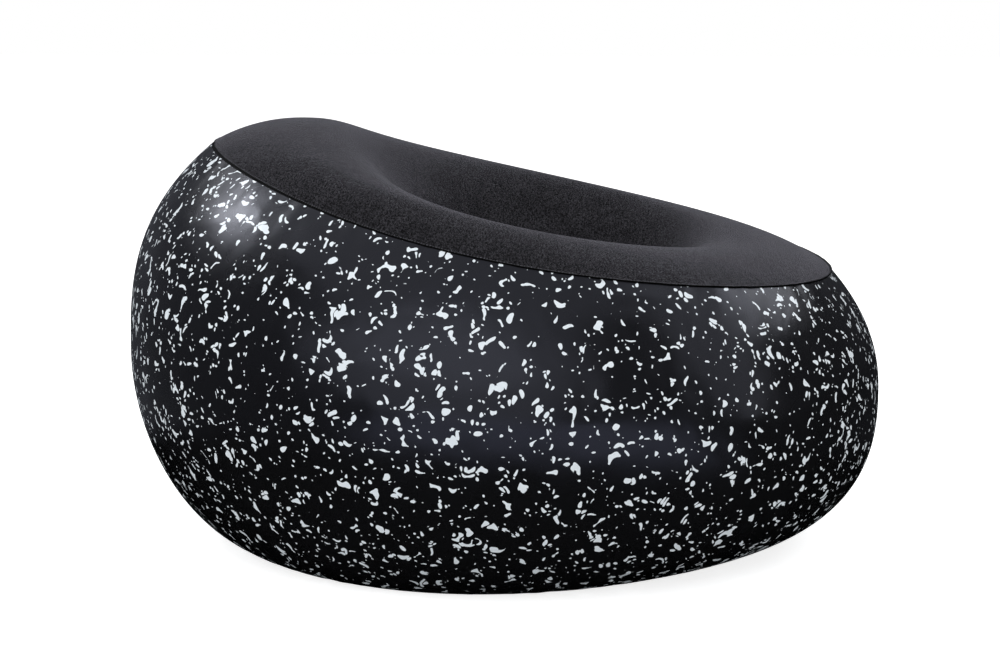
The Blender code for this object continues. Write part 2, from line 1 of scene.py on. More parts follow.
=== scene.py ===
# %% [markdown]
# # An inflatable chair with a flecked wall and a flocked seat
# This lesson dresses a packed chair. The frame holds every solid at its real size and says which
# body each one moves with. Here the sheets are made again as fine, smooth skins, the valve is
# turned with its small edges rounded, and each surface gets its own procedural finish. Lengths
# are in metres, and an angle of 0 round the chair is its front.

# %% Load the frame
import json
import math

import bmesh
import bpy
from mathutils import Matrix, Vector


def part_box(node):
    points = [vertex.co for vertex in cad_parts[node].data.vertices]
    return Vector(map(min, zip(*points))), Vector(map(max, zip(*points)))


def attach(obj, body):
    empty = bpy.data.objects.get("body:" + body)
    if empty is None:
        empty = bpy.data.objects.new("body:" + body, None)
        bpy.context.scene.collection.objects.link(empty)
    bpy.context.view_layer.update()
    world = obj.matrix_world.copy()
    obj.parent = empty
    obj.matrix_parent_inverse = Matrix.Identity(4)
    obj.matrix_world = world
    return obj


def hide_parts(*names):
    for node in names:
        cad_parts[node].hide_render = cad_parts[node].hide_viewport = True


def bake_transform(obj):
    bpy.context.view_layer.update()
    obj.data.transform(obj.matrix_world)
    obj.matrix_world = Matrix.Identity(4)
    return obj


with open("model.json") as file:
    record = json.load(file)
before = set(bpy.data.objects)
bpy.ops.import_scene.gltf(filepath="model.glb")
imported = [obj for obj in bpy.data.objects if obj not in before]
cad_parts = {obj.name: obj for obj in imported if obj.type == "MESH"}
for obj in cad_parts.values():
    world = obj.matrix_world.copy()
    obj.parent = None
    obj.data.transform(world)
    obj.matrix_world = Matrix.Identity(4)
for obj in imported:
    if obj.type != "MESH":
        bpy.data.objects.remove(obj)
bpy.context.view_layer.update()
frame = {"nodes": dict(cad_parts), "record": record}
joints = {joint["name"]: joint for joint in frame["record"]["behaviour"]["joints"]}
print("nodes:", ", ".join(sorted(frame["nodes"])))

# %% [markdown]
# ## The camera
# The photograph was taken from the chair's left side, a little above its seat's front, with a
# long lens. A camera is easiest to reason about as a point that it looks at, a distance and two
# angles. The small shift moves the picture without turning the camera, as a view camera does.

# %% Place the camera
AIM = Vector((0.0, 0.0, 0.330))
CAMERA_DISTANCE = 3.951
CAMERA_AZIMUTH = math.radians(-87.605)
CAMERA_ELEVATION = math.radians(9.024)
LENS_MM = 94.3
SENSOR_MM = 36.0
SHIFT_X = -0.0052
SHIFT_Y = -0.0197

back = Vector((
    math.sin(CAMERA_AZIMUTH) * math.cos(CAMERA_ELEVATION),
    -math.cos(CAMERA_AZIMUTH) * math.cos(CAMERA_ELEVATION),
    math.sin(CAMERA_ELEVATION),
))
camera_data = bpy.data.cameras.new("camera")
camera_data.lens = LENS_MM
camera_data.sensor_width = SENSOR_MM
camera_data.shift_x = SHIFT_X
camera_data.shift_y = SHIFT_Y
camera = bpy.data.objects.new("camera", camera_data)
camera.location = AIM + back * CAMERA_DISTANCE
camera.rotation_mode = "QUATERNION"
camera.rotation_quaternion = (-back).to_track_quat("-Z", "Y")
bpy.context.scene.collection.objects.link(camera)
bpy.context.scene.camera = camera
print("camera at", [round(v, 3) for v in camera.location])

# %% [markdown]
# ## Small helpers for finishes
# A material is a graph of nodes. A few helpers keep the graphs readable: each makes a node, fills
# its sockets with plain values or with links, and hands back the output that the next one needs.

# %% Make and join nodes
def fill(made, **sockets):
    """Fills a node's sockets with plain values or with links from other nodes.

    i0 names a socket by its number, and an underscore stands for a space.
    """
    for name, value in sockets.items():
        key = int(name[1:]) if name[1:].isdigit() else name.replace("_", " ")
        if isinstance(value, bpy.types.NodeSocket):
            made.id_data.links.new(value, made.inputs[key])
        else:
            made.inputs[key].default_value = value


def node(tree, kind, operation=None, **sockets):
    made = tree.nodes.new(kind)
    if operation:
        made.operation = operation
    fill(made, **sockets)
    return made


def calculate(tree, operation, first, second):
    """The number from a Math node."""
    return node(tree, "ShaderNodeMath", operation, i0=first, i1=second).outputs["Value"]


def vector(tree, operation, first, second):
    """The vector from a Vector Math node; second is a plain number for a scale."""
    where = "Scale" if operation == "SCALE" else "i1"
    made = node(tree, "ShaderNodeVectorMath", operation, i0=first, **{where: second})
    return made.outputs["Vector"]


def ramp(tree, value, low, high, from_low=0.0, from_high=1.0):
    """A smooth step from low to high, while a value runs between two numbers."""
    made = node(
        tree, "ShaderNodeMapRange", Value=value, From_Min=from_low, From_Max=from_high,
        To_Min=low, To_Max=high,
    )
    made.interpolation_type = "SMOOTHSTEP"
    return made.outputs["Result"]


def mix(tree, share, first, second):
    """Two colours mixed by a share."""
    made = tree.nodes.new("ShaderNodeMix")
    made.data_type = "RGBA"
    fill(made, i0=share, i6=first, i7=second)
    return made.outputs[2]


# %% [markdown]
# ## Patterns that keep their size
# A pattern is counted in waves to a metre on the object's own coordinates, so that it keeps its
# real size and never slides. A bump's depth is in metres too. The welded sheets also carry two
# attributes: turn runs from 0 to 1 round the chair, and weld is 1 where the sheet was pressed.

# %% Patterns
def object_place(tree):
    return tree.nodes.new("ShaderNodeTexCoord").outputs["Object"]


def attribute(tree, name):
    made = tree.nodes.new("ShaderNodeAttribute")
    made.attribute_name = name
    return made.outputs["Fac"]


def noise(tree, place, per_metre, detail=0.0, roughness=0.5, distortion=0.0):
    """Noise with so many waves in a metre."""
    made = node(
        tree, "ShaderNodeTexNoise", Vector=place, Scale=per_metre, Detail=detail,
        Roughness=roughness, Distortion=distortion,
    )
    return made.outputs["Factor" if "Factor" in made.outputs else "Fac"]


def bump(tree, height, depth, strength=1.0, **normal):
    """A bump of a real depth in metres; Normal names the surface that it is added to."""
    made = node(tree, "ShaderNodeBump", Height=height, Distance=depth, Strength=strength, **normal)
    return made.outputs["Normal"]


def new_finish(name, colour, roughness, **sockets):
    """A Principled material; its plain numbers sit on the shader's own sockets."""
    made = bpy.data.materials.new(name)
    made.use_nodes = True
    shader = made.node_tree.nodes["Principled BSDF"]
    fill(shader, Base_Color=(*colour, 1.0), Roughness=roughness, **sockets)
    return made, made.node_tree, shader


# %% [markdown]
# ## The ribs of a weld
# The tool that welds the sheets is an electrode with fine grooves. It leaves a rib every few
# millimetres across the pressed band. A sine of the turn attribute gives them, and the weld
# attribute keeps them off the rest of the sheet. The bump is laid over the sheet's own normal.

# %% Weld ribs
KNURLS = 640
KNURL_DEPTH = 0.0003
MELT_GRAIN_PER_METRE = 600.0
MELT_GRAIN_DEPTH = 0.0001


def knurls(tree):
    """-1 to 1 along a weld."""
    turns = calculate(tree, "MULTIPLY", attribute(tree, "turn"), KNURLS * math.tau)
    return calculate(tree, "SINE", turns, 0.0)


def pressed(tree, normal):
    """The sheet's own normal with the ribs of its welds on it."""
    ribs = calculate(tree, "MULTIPLY", knurls(tree), attribute(tree, "weld"))
    return bump(tree, ribs, KNURL_DEPTH, Normal=normal)


def pressed_grain(tree):
    """The normal of a melted band: its ribs on a very fine grain."""
    grain = noise(tree, object_place(tree), MELT_GRAIN_PER_METRE)
    return pressed(tree, bump(tree, grain, MELT_GRAIN_DEPTH))


print("ribs in one turn of the chair:", KNURLS)

# %% [markdown]
# ## The flecked sheet
# The wall is black PVC printed with pale chips, like terrazzo. The chips are islands: many are
# small dots, most are short worms and a few are large and branched, and all have rounded ends.
# Cells give them: a chip is where the nearest cell's point is closer than a reach. Bending the
# coordinates with noise turns round chips into worms, a little smoothing merges neighbours, and a
# reach that varies from place to place mixes the sizes. A second, finer layer adds dots.

# %% The chips
LARGE_CHIPS = {
    "per_metre": 64.0, "merge": 0.06, "reach": 0.238, "spread": 0.78,
    "patches_per_metre": 57.0, "bend": 2.4,
}
SMALL_CHIPS = {
    "per_metre": 90.0, "merge": 0.0, "reach": 0.098, "spread": 0.40,
    "patches_per_metre": 80.0, "bend": 0.8,
}
BENDS_PER_CELL = 0.9
PATCHES_AWAY = (2.0, 4.4, 2.2)
CHIP_EDGE = 0.018


def chips_layer(tree, place, per_metre, merge, reach, spread, patches_per_metre, bend):
    """1 on a chip and 0 between them; reach, spread and bend are shares of a cell."""
    waves = per_metre * BENDS_PER_CELL
    wave = node(tree, "ShaderNodeTexNoise", Vector=place, Scale=waves, Detail=0.0)
    centred = vector(tree, "SUBTRACT", wave.outputs["Color"], (0.5, 0.5, 0.5))
    bent = vector(tree, "ADD", place, vector(tree, "SCALE", centred, bend / per_metre))
    cells = node(tree, "ShaderNodeTexVoronoi", Vector=bent, Scale=per_metre)
    cells.feature = "F1"
    if merge:
        cells.feature = "SMOOTH_F1"
        cells.inputs["Smoothness"].default_value = merge
    away = node(tree, "ShaderNodeMapping", Vector=place, Location=PATCHES_AWAY)
    patches = noise(tree, away.outputs["Vector"], patches_per_metre)
    here = calculate(tree, "MULTIPLY", patches, spread)
    here = calculate(tree, "ADD", here, reach - spread / 2)
    inside = calculate(tree, "SUBTRACT", here, cells.outputs["Distance"])
    return ramp(tree, inside, 0.0, 1.0, 0.0, CHIP_EDGE)


def flecks(tree, place):
    large = chips_layer(tree, place, **LARGE_CHIPS)
    small = chips_layer(tree, place, **SMALL_CHIPS)
    return calculate(tree, "MAXIMUM", large, small)


print("large cells of", round(1000 / LARGE_CHIPS["per_metre"], 1), "mm")

# %% [markdown]
# ## From chips to a printed sheet
# The sheet is softly glossy. Its gloss varies a little, the rollers left a faint grain, the ink
# stands up by a hair, and the sheet is slack by a few millimetres between its welds, which makes
# a reflection cloudy. The print doesn't match across the lap at the back, so it is slid along by
# the turn attribute. Under a weld the ink is squeezed away. At the seat's weld the band is black
# and dull: partly the unprinted weld, partly painted shade for the groove under the lip.

# %% Flecked PVC
PVC_BLACK = (0.0054, 0.0054, 0.0058, 1.0)
FLECK_PALE = (0.85, 0.90, 0.93, 1.0)
FLECK_COOL = (0.80, 0.86, 0.90, 1.0)
MELT_AND_SHADE_DARK = (0.0020, 0.0020, 0.0024, 1.0)
TINTS_PER_METRE = 30.0
LAP_MISMATCH = 0.05
HAZE_PER_METRE = 9.0
HAZE_LOW = 0.22
HAZE_HIGH = 0.31
ROLLER_GRAIN_PER_METRE = 260.0
ROLLER_GRAIN_DEPTH = 0.00006
INK_SHARE = 0.15
SLACK_PER_METRE = 10.0
SLACK_DEPTH = 0.0045


def flecked_pvc():
    made, tree, shader = new_finish(
        "flecked_pvc", PVC_BLACK[:3], 0.26, IOR=1.5, Specular_IOR_Level=0.38,
        Specular_Tint=(0.78, 0.80, 1.0, 1.0),
    )
    slid = calculate(tree, "MULTIPLY", attribute(tree, "turn"), LAP_MISMATCH)
    slide = node(tree, "ShaderNodeCombineXYZ", Z=slid)
    place = vector(tree, "ADD", object_place(tree), slide.outputs["Vector"])
    printed = calculate(tree, "LESS_THAN", attribute(tree, "weld"), 0.5)
    chips = calculate(tree, "MULTIPLY", flecks(tree, place), printed)
    tint = mix(tree, noise(tree, place, TINTS_PER_METRE), FLECK_PALE, FLECK_COOL)
    haze = noise(tree, place, HAZE_PER_METRE, 3.0, 0.6)
    rollers = noise(tree, place, ROLLER_GRAIN_PER_METRE, 2.0)
    rollers = calculate(tree, "ADD", rollers, calculate(tree, "MULTIPLY", chips, INK_SHARE))
    fine = bump(tree, rollers, ROLLER_GRAIN_DEPTH, 0.6)
    slack = noise(tree, place, SLACK_PER_METRE, 1.5, 0.5, 0.4)
    slack = bump(tree, slack, SLACK_DEPTH, Normal=fine)
    fill(
        shader, Base_Color=mix(tree, chips, PVC_BLACK, tint), Normal=pressed(tree, slack),
        Roughness=ramp(tree, haze, HAZE_LOW, HAZE_HIGH, 0.3, 0.7),
    )
    return made


# Painted shade: a dull black finish for the band at the seat's weld. It is partly the unprinted weld
# and partly the shade in the groove under the lip.
def melted_pvc_shade():
    made, tree, shader = new_finish("melted_pvc_shade", MELT_AND_SHADE_DARK[:3], 0.6, Specular_IOR_Level=0.06)
    fill(shader, Normal=pressed_grain(tree))
    return made


flecked = flecked_pvc()
melted_print_shade = melted_pvc_shade()
print("made", flecked.name, "and", melted_print_shade.name)

# %% [markdown]
# ## The flocked sheet
# The seat is PVC with short nylon fibres shot into glue. It has no weave: from a step away it is
# a soft charcoal with a fine grain, and it turns paler where it is seen along the surface. Sheen
# gives that edge light, and two scales of noise give the grain and the brushed patches. The
# fibres lie over across the chair, so the grain is longer that way. Under a weld the fibres are
# melted flat, and the ribs of the tool show as dark and pale lines. The dark is partly painted
# shade for the seam's groove, and the pale ribs are partly a painted highlight on the lip's edge.

# %% Flocked PVC
FLOCK_DARK = (0.0020, 0.0019, 0.0025, 1.0)
FLOCK_PALE = (0.0560, 0.0540, 0.0615, 1.0)
MELT_PALE_AND_HIGHLIGHT = (0.0560, 0.0540, 0.0620, 1.0)
LYING_ACROSS = (0.28, 1.0, 1.0)
FLOCK_GRAIN_PER_METRE = 420.0
FLOCK_GRAIN_DEPTH = 0.0017
BRUSHED_PER_METRE = 26.0


def flocked_pvc():
    made, tree, shader = new_finish(
        "flocked_pvc", FLOCK_DARK[:3], 1.0, Sheen_Weight=0.43, Sheen_Roughness=0.20,
        Sheen_Tint=(0.80, 0.78, 0.90, 1.0), Specular_IOR_Level=0.12,
    )
    place = object_place(tree)
    lying = node(tree, "ShaderNodeMapping", Vector=place, Scale=LYING_ACROSS)
    grain = noise(tree, lying.outputs["Vector"], FLOCK_GRAIN_PER_METRE, 4.0, 0.75)
    brushed = noise(tree, place, BRUSHED_PER_METRE, 4.0, 0.6)
    share = calculate(
        tree, "MULTIPLY", ramp(tree, grain, 0.0, 1.0, 0.40, 0.66),
        ramp(tree, brushed, 0.6, 1.0, 0.3, 0.7),
    )
    lit = pressed(tree, bump(tree, grain, FLOCK_GRAIN_DEPTH))
    fill(shader, Base_Color=mix(tree, share, FLOCK_DARK, FLOCK_PALE), Normal=lit)
    return made


# Painted shade and highlight: the lip is darker for the seam's shadow line, and its pale ribs stand
# partly for the light on the lip's edge.
def melted_flock_shade():
    made, tree, shader = new_finish("melted_flock_shade", FLOCK_DARK[:3], 0.5, Specular_IOR_Level=0.2)
    share = ramp(tree, knurls(tree), 0.0, 1.0, 0.2, 0.9)
    fill(shader, Base_Color=mix(tree, share, MELT_AND_SHADE_DARK, MELT_PALE_AND_HIGHLIGHT), Normal=pressed_grain(tree))
    return made


flocked = flocked_pvc()
melted_lip_shade = melted_flock_shade()
print("made", flocked.name, "and", melted_lip_shade.name)

# %% [markdown]
# ## Plain PVC, moulded plastic, rubber and steel
# The base, the inner tube and the rings are plain sheet with a faint grain from the rollers. The
# valve is moulded: its plastic has a fine spark texture, its rubber is softer and duller. One
# helper makes them all: some haze in the gloss, some grain, and a colour that is never quite even.

# %% Plain finishes
def clouded(tree, shader, place, colour, roughness, haze, shade, paler, spread):
    """Links an uneven gloss and colour; haze and shade are (waves to a metre, detail)."""
    low, high = roughness - spread[0], roughness + spread[1]
    gloss = ramp(tree, noise(tree, place, *haze, 0.6), low, high, 0.3, 0.7)
    pale = tuple(channel * paler for channel in colour)
    tint = mix(tree, noise(tree, place, *shade, 0.6), (*colour, 1.0), (*pale, 1.0))
    fill(shader, Base_Color=tint, Roughness=gloss)


def plain_pvc(name, colour, roughness):
    made, tree, shader = new_finish(name, colour, roughness)
    place = object_place(tree)
    fill(shader, Normal=bump(tree, noise(tree, place, 420.0, 2.0), 0.00008, 0.6))
    clouded(tree, shader, place, colour, roughness, (12.0, 3.0), (35.0, 4.0), 1.5, (0.05, 0.06))
    return made


def moulded(name, colour, roughness, grain_per_metre, grain_depth, **sockets):
    made, tree, shader = new_finish(name, colour, roughness, **sockets)
    place = object_place(tree)
    grain = noise(tree, place, grain_per_metre, 2.0, 0.6)
    fill(shader, Normal=bump(tree, grain, grain_depth, 0.7))
    clouded(tree, shader, place, colour, roughness, (160.0, 3.0), (240.0, 3.0), 1.35, (0.06, 0.08))
    return made


base_pvc = plain_pvc("base_pvc", (0.0080, 0.0080, 0.0090), 0.40)
tie_pvc = plain_pvc("tie_pvc", (0.0600, 0.0620, 0.0660), 0.36)
# Cut edges of the sheets in a lighter grey: partly the flock's cut edge, partly a painted highlight
# for the light on the lip's edge.
cut_edge_highlight = plain_pvc("cut_edge_highlight", (0.0700, 0.0700, 0.0760), 0.70)
valve_black = moulded("valve_black", (0.0140, 0.0140, 0.0155), 0.42, 2200.0, 0.00006)
valve_grey = moulded("valve_grey", (0.1800, 0.1850, 0.1950), 0.40, 1500.0, 0.00003)
soft_rubber = moulded("soft_rubber", (0.0200, 0.0200, 0.0205), 0.66, 1800.0, 0.00005)
pin_steel = moulded("pin_steel", (0.5600, 0.5700, 0.5800), 0.28, 3000.0, 0.00001, Metallic=1.0)
print("made the plain finishes")

# %% [markdown]
# ## The chair's outline
# The chair is round in plan, but its section changes on the way round: a low, full front, and a
# high back. So each size is known at the front, the side and the back, and one smooth formula
# gives it at every angle between. The wall is then two arcs of a superellipse, one below the
# belly and one above it, and the seat is a crest that falls into a hollow.

# %% Sizes of the outline
low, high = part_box("side_wall")
SOLID_COLUMNS = 48
BELLY_RADIUS = (high[0] - low[0]) / 2 / math.cos(math.pi / SOLID_COLUMNS)
SWELL_PEAK = 2.6
SEAM_RADIUS = (0.485, 0.454, 0.432, -0.014)
SEAM_HEIGHT = (0.405, 0.474, 0.593, -0.005)
FOOT_RADIUS = (0.297, 0.392, 0.378)
BELLY_HEIGHT_SHARES = (0.557, 0.567, 0.477)
LOWER_ROUNDNESS = (2.475, 1.55, 1.836)
UPPER_ROUNDNESS = (2.20, 1.81, 2.98)
CREST_RISE = (0.045, 0.039, 0.030, 0.004)
CREST_PLACE_SHARES = (0.443, 0.235, 0.330, -0.035)
CREST_ROUNDNESS = (2.03, 1.93, 2.19)
HOLLOW_ROUNDNESS = (2.10, 1.71, 2.70, 0.16)
HOLLOW_SHIFT = -0.045
HOLLOW_FLOOR = 0.200
LAND_INNER = 0.085
LAND_OUTER = 0.105
FLOOR_DOME = 0.012
DIMPLE_RADIUS = 0.200
DIMPLE_HEIGHT = 0.022
DIMPLE_SAG = 0.009
DIMPLE_ROUNDNESS = 1.7
SHEET = 0.0004
GAP = 0.0003
LAP = 0.012
print("belly radius", round(BELLY_RADIUS, 4))


# %% Formulas of the outline
def around(angle, values):
    """A value that runs smoothly from the front (angle 0) past the side to the back.

    A fourth value swells it between the side and the back, and draws it in before the side.
    """
    front, side, rear, swell = (*values, 0)[:4]
    turn = -math.cos(angle)
    even = side + (rear - front) / 2 * turn + ((front + rear) / 2 - side) * turn * turn
    return even + swell * (turn - turn ** 3) * SWELL_PEAK


def outward(angle):
    return Vector((math.sin(angle), -math.cos(angle), 0))


def meridian(angle, radius, height):
    """The point at a radius and height in the upright plane at an angle."""
    return outward(angle) * radius + Vector((0, 0, height))


def hollow_ring(angle, radius, height):
    """A point on a circle round the middle of the hollow."""
    return Vector((0, HOLLOW_SHIFT, 0)) + meridian(angle, radius, height)


def belly_height(angle):
    return around(angle, BELLY_HEIGHT_SHARES) * around(angle, SEAM_HEIGHT)


def wall_lower(angle, share):
    power = 2 / around(angle, LOWER_ROUNDNESS)
    turn = share * math.pi / 2
    foot = around(angle, FOOT_RADIUS)
    radius = foot + (BELLY_RADIUS - foot) * math.sin(turn) ** power
    rise = 1 - max(math.cos(turn), 0) ** power
    start = SHEET + GAP
    return meridian(angle, radius, start + (belly_height(angle) - start) * rise)


def wall_upper(angle, share):
    draw = share ** around(angle, UPPER_ROUNDNESS)
    radius = BELLY_RADIUS + (around(angle, SEAM_RADIUS) - BELLY_RADIUS) * draw
    height = belly_height(angle) + (around(angle, SEAM_HEIGHT) - belly_height(angle)) * share
    return meridian(angle, radius, height)


def seat_point(angle, share):
    crest = around(angle, CREST_PLACE_SHARES)
    rise = around(angle, CREST_RISE)
    top = around(angle, SEAM_HEIGHT) + rise
    start = meridian(angle, around(angle, SEAM_RADIUS), 0)
    plan = start.lerp(hollow_ring(angle, LAND_OUTER, 0), share)
    if share < crest:
        plan.z = top - rise * ((crest - share) / crest) ** around(angle, CREST_ROUNDNESS)
    else:
        fall = ((share - crest) / (1 - crest)) ** around(angle, HOLLOW_ROUNDNESS)
        plan.z = top - (top - HOLLOW_FLOOR) * fall
    return plan


def seam_frame(angle):
    """The weld's middle, the way its lip points, and the way across it towards the seat."""
    radius = around(angle, SEAM_RADIUS)
    height = around(angle, SEAM_HEIGHT)
    run = (radius - BELLY_RADIUS) * around(angle, UPPER_ROUNDNESS)
    wall_way = Vector((run, height - belly_height(angle))).normalized()
    seat_run = hollow_ring(angle, LAND_OUTER, 0).dot(outward(angle)) - radius
    seat_rise = around(angle, CREST_ROUNDNESS) * around(angle, CREST_RISE)
    seat_rise /= around(angle, CREST_PLACE_SHARES)
    across = (wall_way + Vector((seat_run, seat_rise)).normalized()).normalized()
    middle = meridian(angle, radius, height)
    return middle, meridian(angle, across.y, -across.x), meridian(angle, across.x, across.y)


print("seat weld at the back:", [round(v, 3) for v in seam_frame(math.pi)[0]])

# %% [markdown]
# ## Wrapping a grid round the chair
# A sheet that goes once round is a flat grid whose columns become angles and whose rows become
# heights. Its first and last columns meet, and merging doubles closes it. Welded sheet puckers
# near its weld, because the flat-cut edge is a little too long for the curve that the air pushes
# it into, so each row also says how far its corners are pushed, and by which uneven waves.
# These forms could be grown by a cloth simulation, but air holds the sheets so taut and even
# that formulas fitted to the photograph follow it more closely.

# %% Wrap helper
COLUMNS = 480
LAP_ANGLE = math.pi
LAP_STEP = 0.0006
LAP_RAMP = 0.010


def ripple(angle, waves):
    """An uneven wave round the chair, within about -1 to 1, from (count, size, phase) terms."""
    return sum(size * math.sin(count * angle + phase) for count, size, phase in waves)


def row_of(point, *where, mark=0, depth=0, waves=()):
    """A row of corners: a point at every angle, its weld value and its puckers.

    Depth is how far the waves push a corner along its normal.
    """
    return (lambda angle: point(angle, *where)), mark, depth, waves


def wrap(rows, lap=False):
    """A bmesh of rows of points; a lapped one steps down where its end lies on its start."""
    step = LAP_STEP / BELLY_RADIUS if lap else 0
    angles = [LAP_ANGLE + i / (COLUMNS - 1) * (math.tau - step) for i in range(COLUMNS)]
    if not lap:
        angles = [LAP_ANGLE + i * math.tau / COLUMNS for i in range(COLUMNS)]
    bm = bmesh.new()
    bmesh.ops.create_grid(bm, x_segments=COLUMNS, y_segments=len(rows) - 1, size=1)
    turn = bm.verts.layers.float.new("turn")
    weld = bm.verts.layers.float.new("weld")
    push = bm.verts.layers.float.new("push")
    for corner in bm.verts:
        column = round((corner.co.x + 1) / 2 * COLUMNS) % COLUMNS
        point, mark, depth, waves = rows[round((corner.co.y + 1) / 2 * (len(rows) - 1))]
        angle = angles[column]
        corner.co = point(angle)
        corner[turn] = column / (COLUMNS - 1)
        corner[weld] = mark
        corner[push] = depth * ripple(angle, waves) + (lap_height(angle) if lap else 0)
    bmesh.ops.remove_doubles(bm, verts=bm.verts, dist=GAP / 10)
    bm.normal_update()
    for corner, move in [(corner, corner.normal * corner[push]) for corner in bm.verts]:
        corner.co += move
    return bm


def lap_height(angle):
    """The lap at the back: one end of the band lies on the other, a sheet's thickness proud."""
    reach = (math.tau + LAP_ANGLE - angle) * BELLY_RADIUS
    if reach > LAP + LAP_RAMP:
        return 0.0
    share = min(max((LAP + LAP_RAMP - reach) / LAP_RAMP, 0), 1)
    return SHEET * share * share * (3 - 2 * share)


# %% [markdown]
# ## Turning a piece into an object
# A finished piece is a mesh at the origin, so its place is in its mesh. It rides on a body, and
# it stands for the solids that it covers, which are hidden. A Solidify modifier gives a skin its
# sheet's thickness, inwards, so that the outside keeps its size.

# %% Piece helpers
def piece(name, bm, body, slot, finishes, *nodes):
    """An object from a bmesh; a piece that bends between two bodies rides on neither."""
    mesh = bpy.data.meshes.new(name)
    bm.to_mesh(mesh)
    bm.free()
    mesh.shade_smooth()
    thing = bpy.data.objects.new(name, mesh)
    bpy.context.scene.collection.objects.link(thing)
    for finish in finishes:
        mesh.materials.append(finish)
    if body:
        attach(thing, body)
    if nodes:
        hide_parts(*nodes)
    print(f"{name}: {len(mesh.polygons)} faces on {body or 'two bodies'}")
    return thing


def thicken(thing, thickness, rim=0):
    shell = thing.modifiers.new("Thickness", "SOLIDIFY")
    shell.thickness = thickness
    shell.offset = -1
    shell.use_even_offset = True
    shell.material_offset_rim = rim


def cut(thing, bm):
    """Applies a piece's modifiers and takes a closed shape out of it."""
    mesh = bpy.data.meshes.new("cutter")
    bm.to_mesh(mesh)
    bm.free()
    cutter = bpy.data.objects.new("cutter", mesh)
    bpy.context.scene.collection.objects.link(cutter)
    step = thing.modifiers.new("Cut", "BOOLEAN")
    step.operation = "DIFFERENCE"
    step.solver = "EXACT"
    step.object = cutter
    graph = bpy.context.evaluated_depsgraph_get()
    mesh = bpy.data.meshes.new_from_object(thing.evaluated_get(graph))
    mesh.set_sharp_from_angle(angle=math.radians(45))
    thing.modifiers.clear()
    thing.data = mesh
    bpy.data.objects.remove(cutter)


def rod(radius, length, place, turn=Matrix(), segments=96):
    """A closed cylinder centred on a place, with its axis turned from Z."""
    bm = bmesh.new()
    bmesh.ops.create_cone(
        bm, cap_ends=True, segments=segments, radius1=radius, radius2=radius, depth=length,
        matrix=Matrix.Translation(place) @ turn.to_4x4(),
    )
    return bm


# %% [markdown]
# ## The valve's place
# The valve sits on a flat of the wall, low on the right of the back. The joint that unscrews the
# cap has its point on the wall and its axis straight out of the valve, and the flap's hinge is
# level, so the two give the valve's own axes and no number needs to be typed again.

# %% Valve axes
valve_point = Vector(joints["cap_unscrew"]["pos_m"])
valve_out = Vector(joints["cap_unscrew"]["axis"]).normalized()
valve_level = Vector(joints["flap_swing"]["axis"]).normalized()
valve_up = valve_out.cross(valve_level)
valve_place = Matrix((valve_level, valve_up, valve_out)).transposed().to_4x4()
valve_place.translation = valve_point
HOLE_RADIUS = 0.0175
print("valve at", [round(v, 3) for v in valve_point])

# %% [markdown]
# ## The wall
# The wall is one band. Its lower edge is lapped flat over the base, it swells to the belly, draws
# in to the seat, and turns out as the weld's lip. The wall is flat where the valve's flange is
# welded to it, so corners near the valve are laid on the valve's plane. The hole is cut with a
# Boolean, which gives its new corners no attributes of their own, so they are marked again.

# %% Make the wall
LOWER_ROWS = 30
UPPER_ROWS = 30
UPPER_CROWDING = 1.35
# A root mark over a half brings the faces beside the lip into the dull band, which is partly painted
# shade.
ROOT_MARK = 0.6
SEAM_ONLY = 0.3
PUCKER_DEPTH = 0.0006
SOFT_PUCKER_SHARE = 0.5
PUCKER_FADE = 0.022
LIP_DEPTH = 0.0003
LIP_REACH = (0.0028, 0.0020, 0.0009)
LIP_DROOP = (0.50, 0.90, 1.25)
SEAM_WAVES = ((61, 0.45, 0.3), (87, 0.35, 1.9), (113, 0.30, 4.0), (29, 0.35, 2.2))
FOOT_WAVES = ((53, 0.45, 1.1), (79, 0.40, 0.4), (31, 0.40, 3.0))
FLAT_RADIUS = 0.031
FLAT_FADE = 0.026


def hem_point(angle, reach):
    """A point of the hem that is lapped under the chair, so far in from the wall's foot."""
    return meridian(angle, around(angle, FOOT_RADIUS) - reach, SHEET + GAP)


def wall_rows():
    rows = [row_of(hem_point, LAP * share, mark=1) for share in (1, 0.5, 0)]
    for row in range(1, LOWER_ROWS + 1):
        share = row / LOWER_ROWS
        span = (wall_lower(math.pi / 2, share) - wall_lower(math.pi / 2, 0)).length
        depth = PUCKER_DEPTH * math.exp(-span / PUCKER_FADE) * min(span / PUCKER_FADE * 4, 1)
        rows.append(row_of(wall_lower, share, depth=depth, waves=FOOT_WAVES))
    for row in range(1, UPPER_ROWS):
        share = 1 - (1 - row / UPPER_ROWS) ** UPPER_CROWDING
        span = (wall_upper(math.pi / 2, share) - wall_upper(math.pi / 2, 1)).length
        depth = PUCKER_DEPTH * math.exp(-span / PUCKER_FADE)
        rows.append(row_of(wall_upper, share, depth=depth, waves=SEAM_WAVES))
    rows.append(row_of(lip_point, -1, 0, mark=ROOT_MARK))
    return rows + [row_of(lip_point, -1, share, mark=1) for share in (0.5, 1)]


def lip_point(angle, side, share):
    """A point of a lip; side is -1 on the wall and 1 on the seat, share runs to its cut edge.

    Towards the back the lip is shorter and droops more, because the wall is steeper there.
    """
    middle, lip, across = seam_frame(angle)
    wave = ripple(angle, SEAM_WAVES) * LIP_DEPTH
    droop = around(angle, LIP_DROOP) * share
    reach = share * (around(angle, LIP_REACH) + wave)
    way = lip * math.cos(droop) - across * math.sin(droop)
    return middle + across * (side * (SHEET + GAP / 2) + wave * share) + way * reach


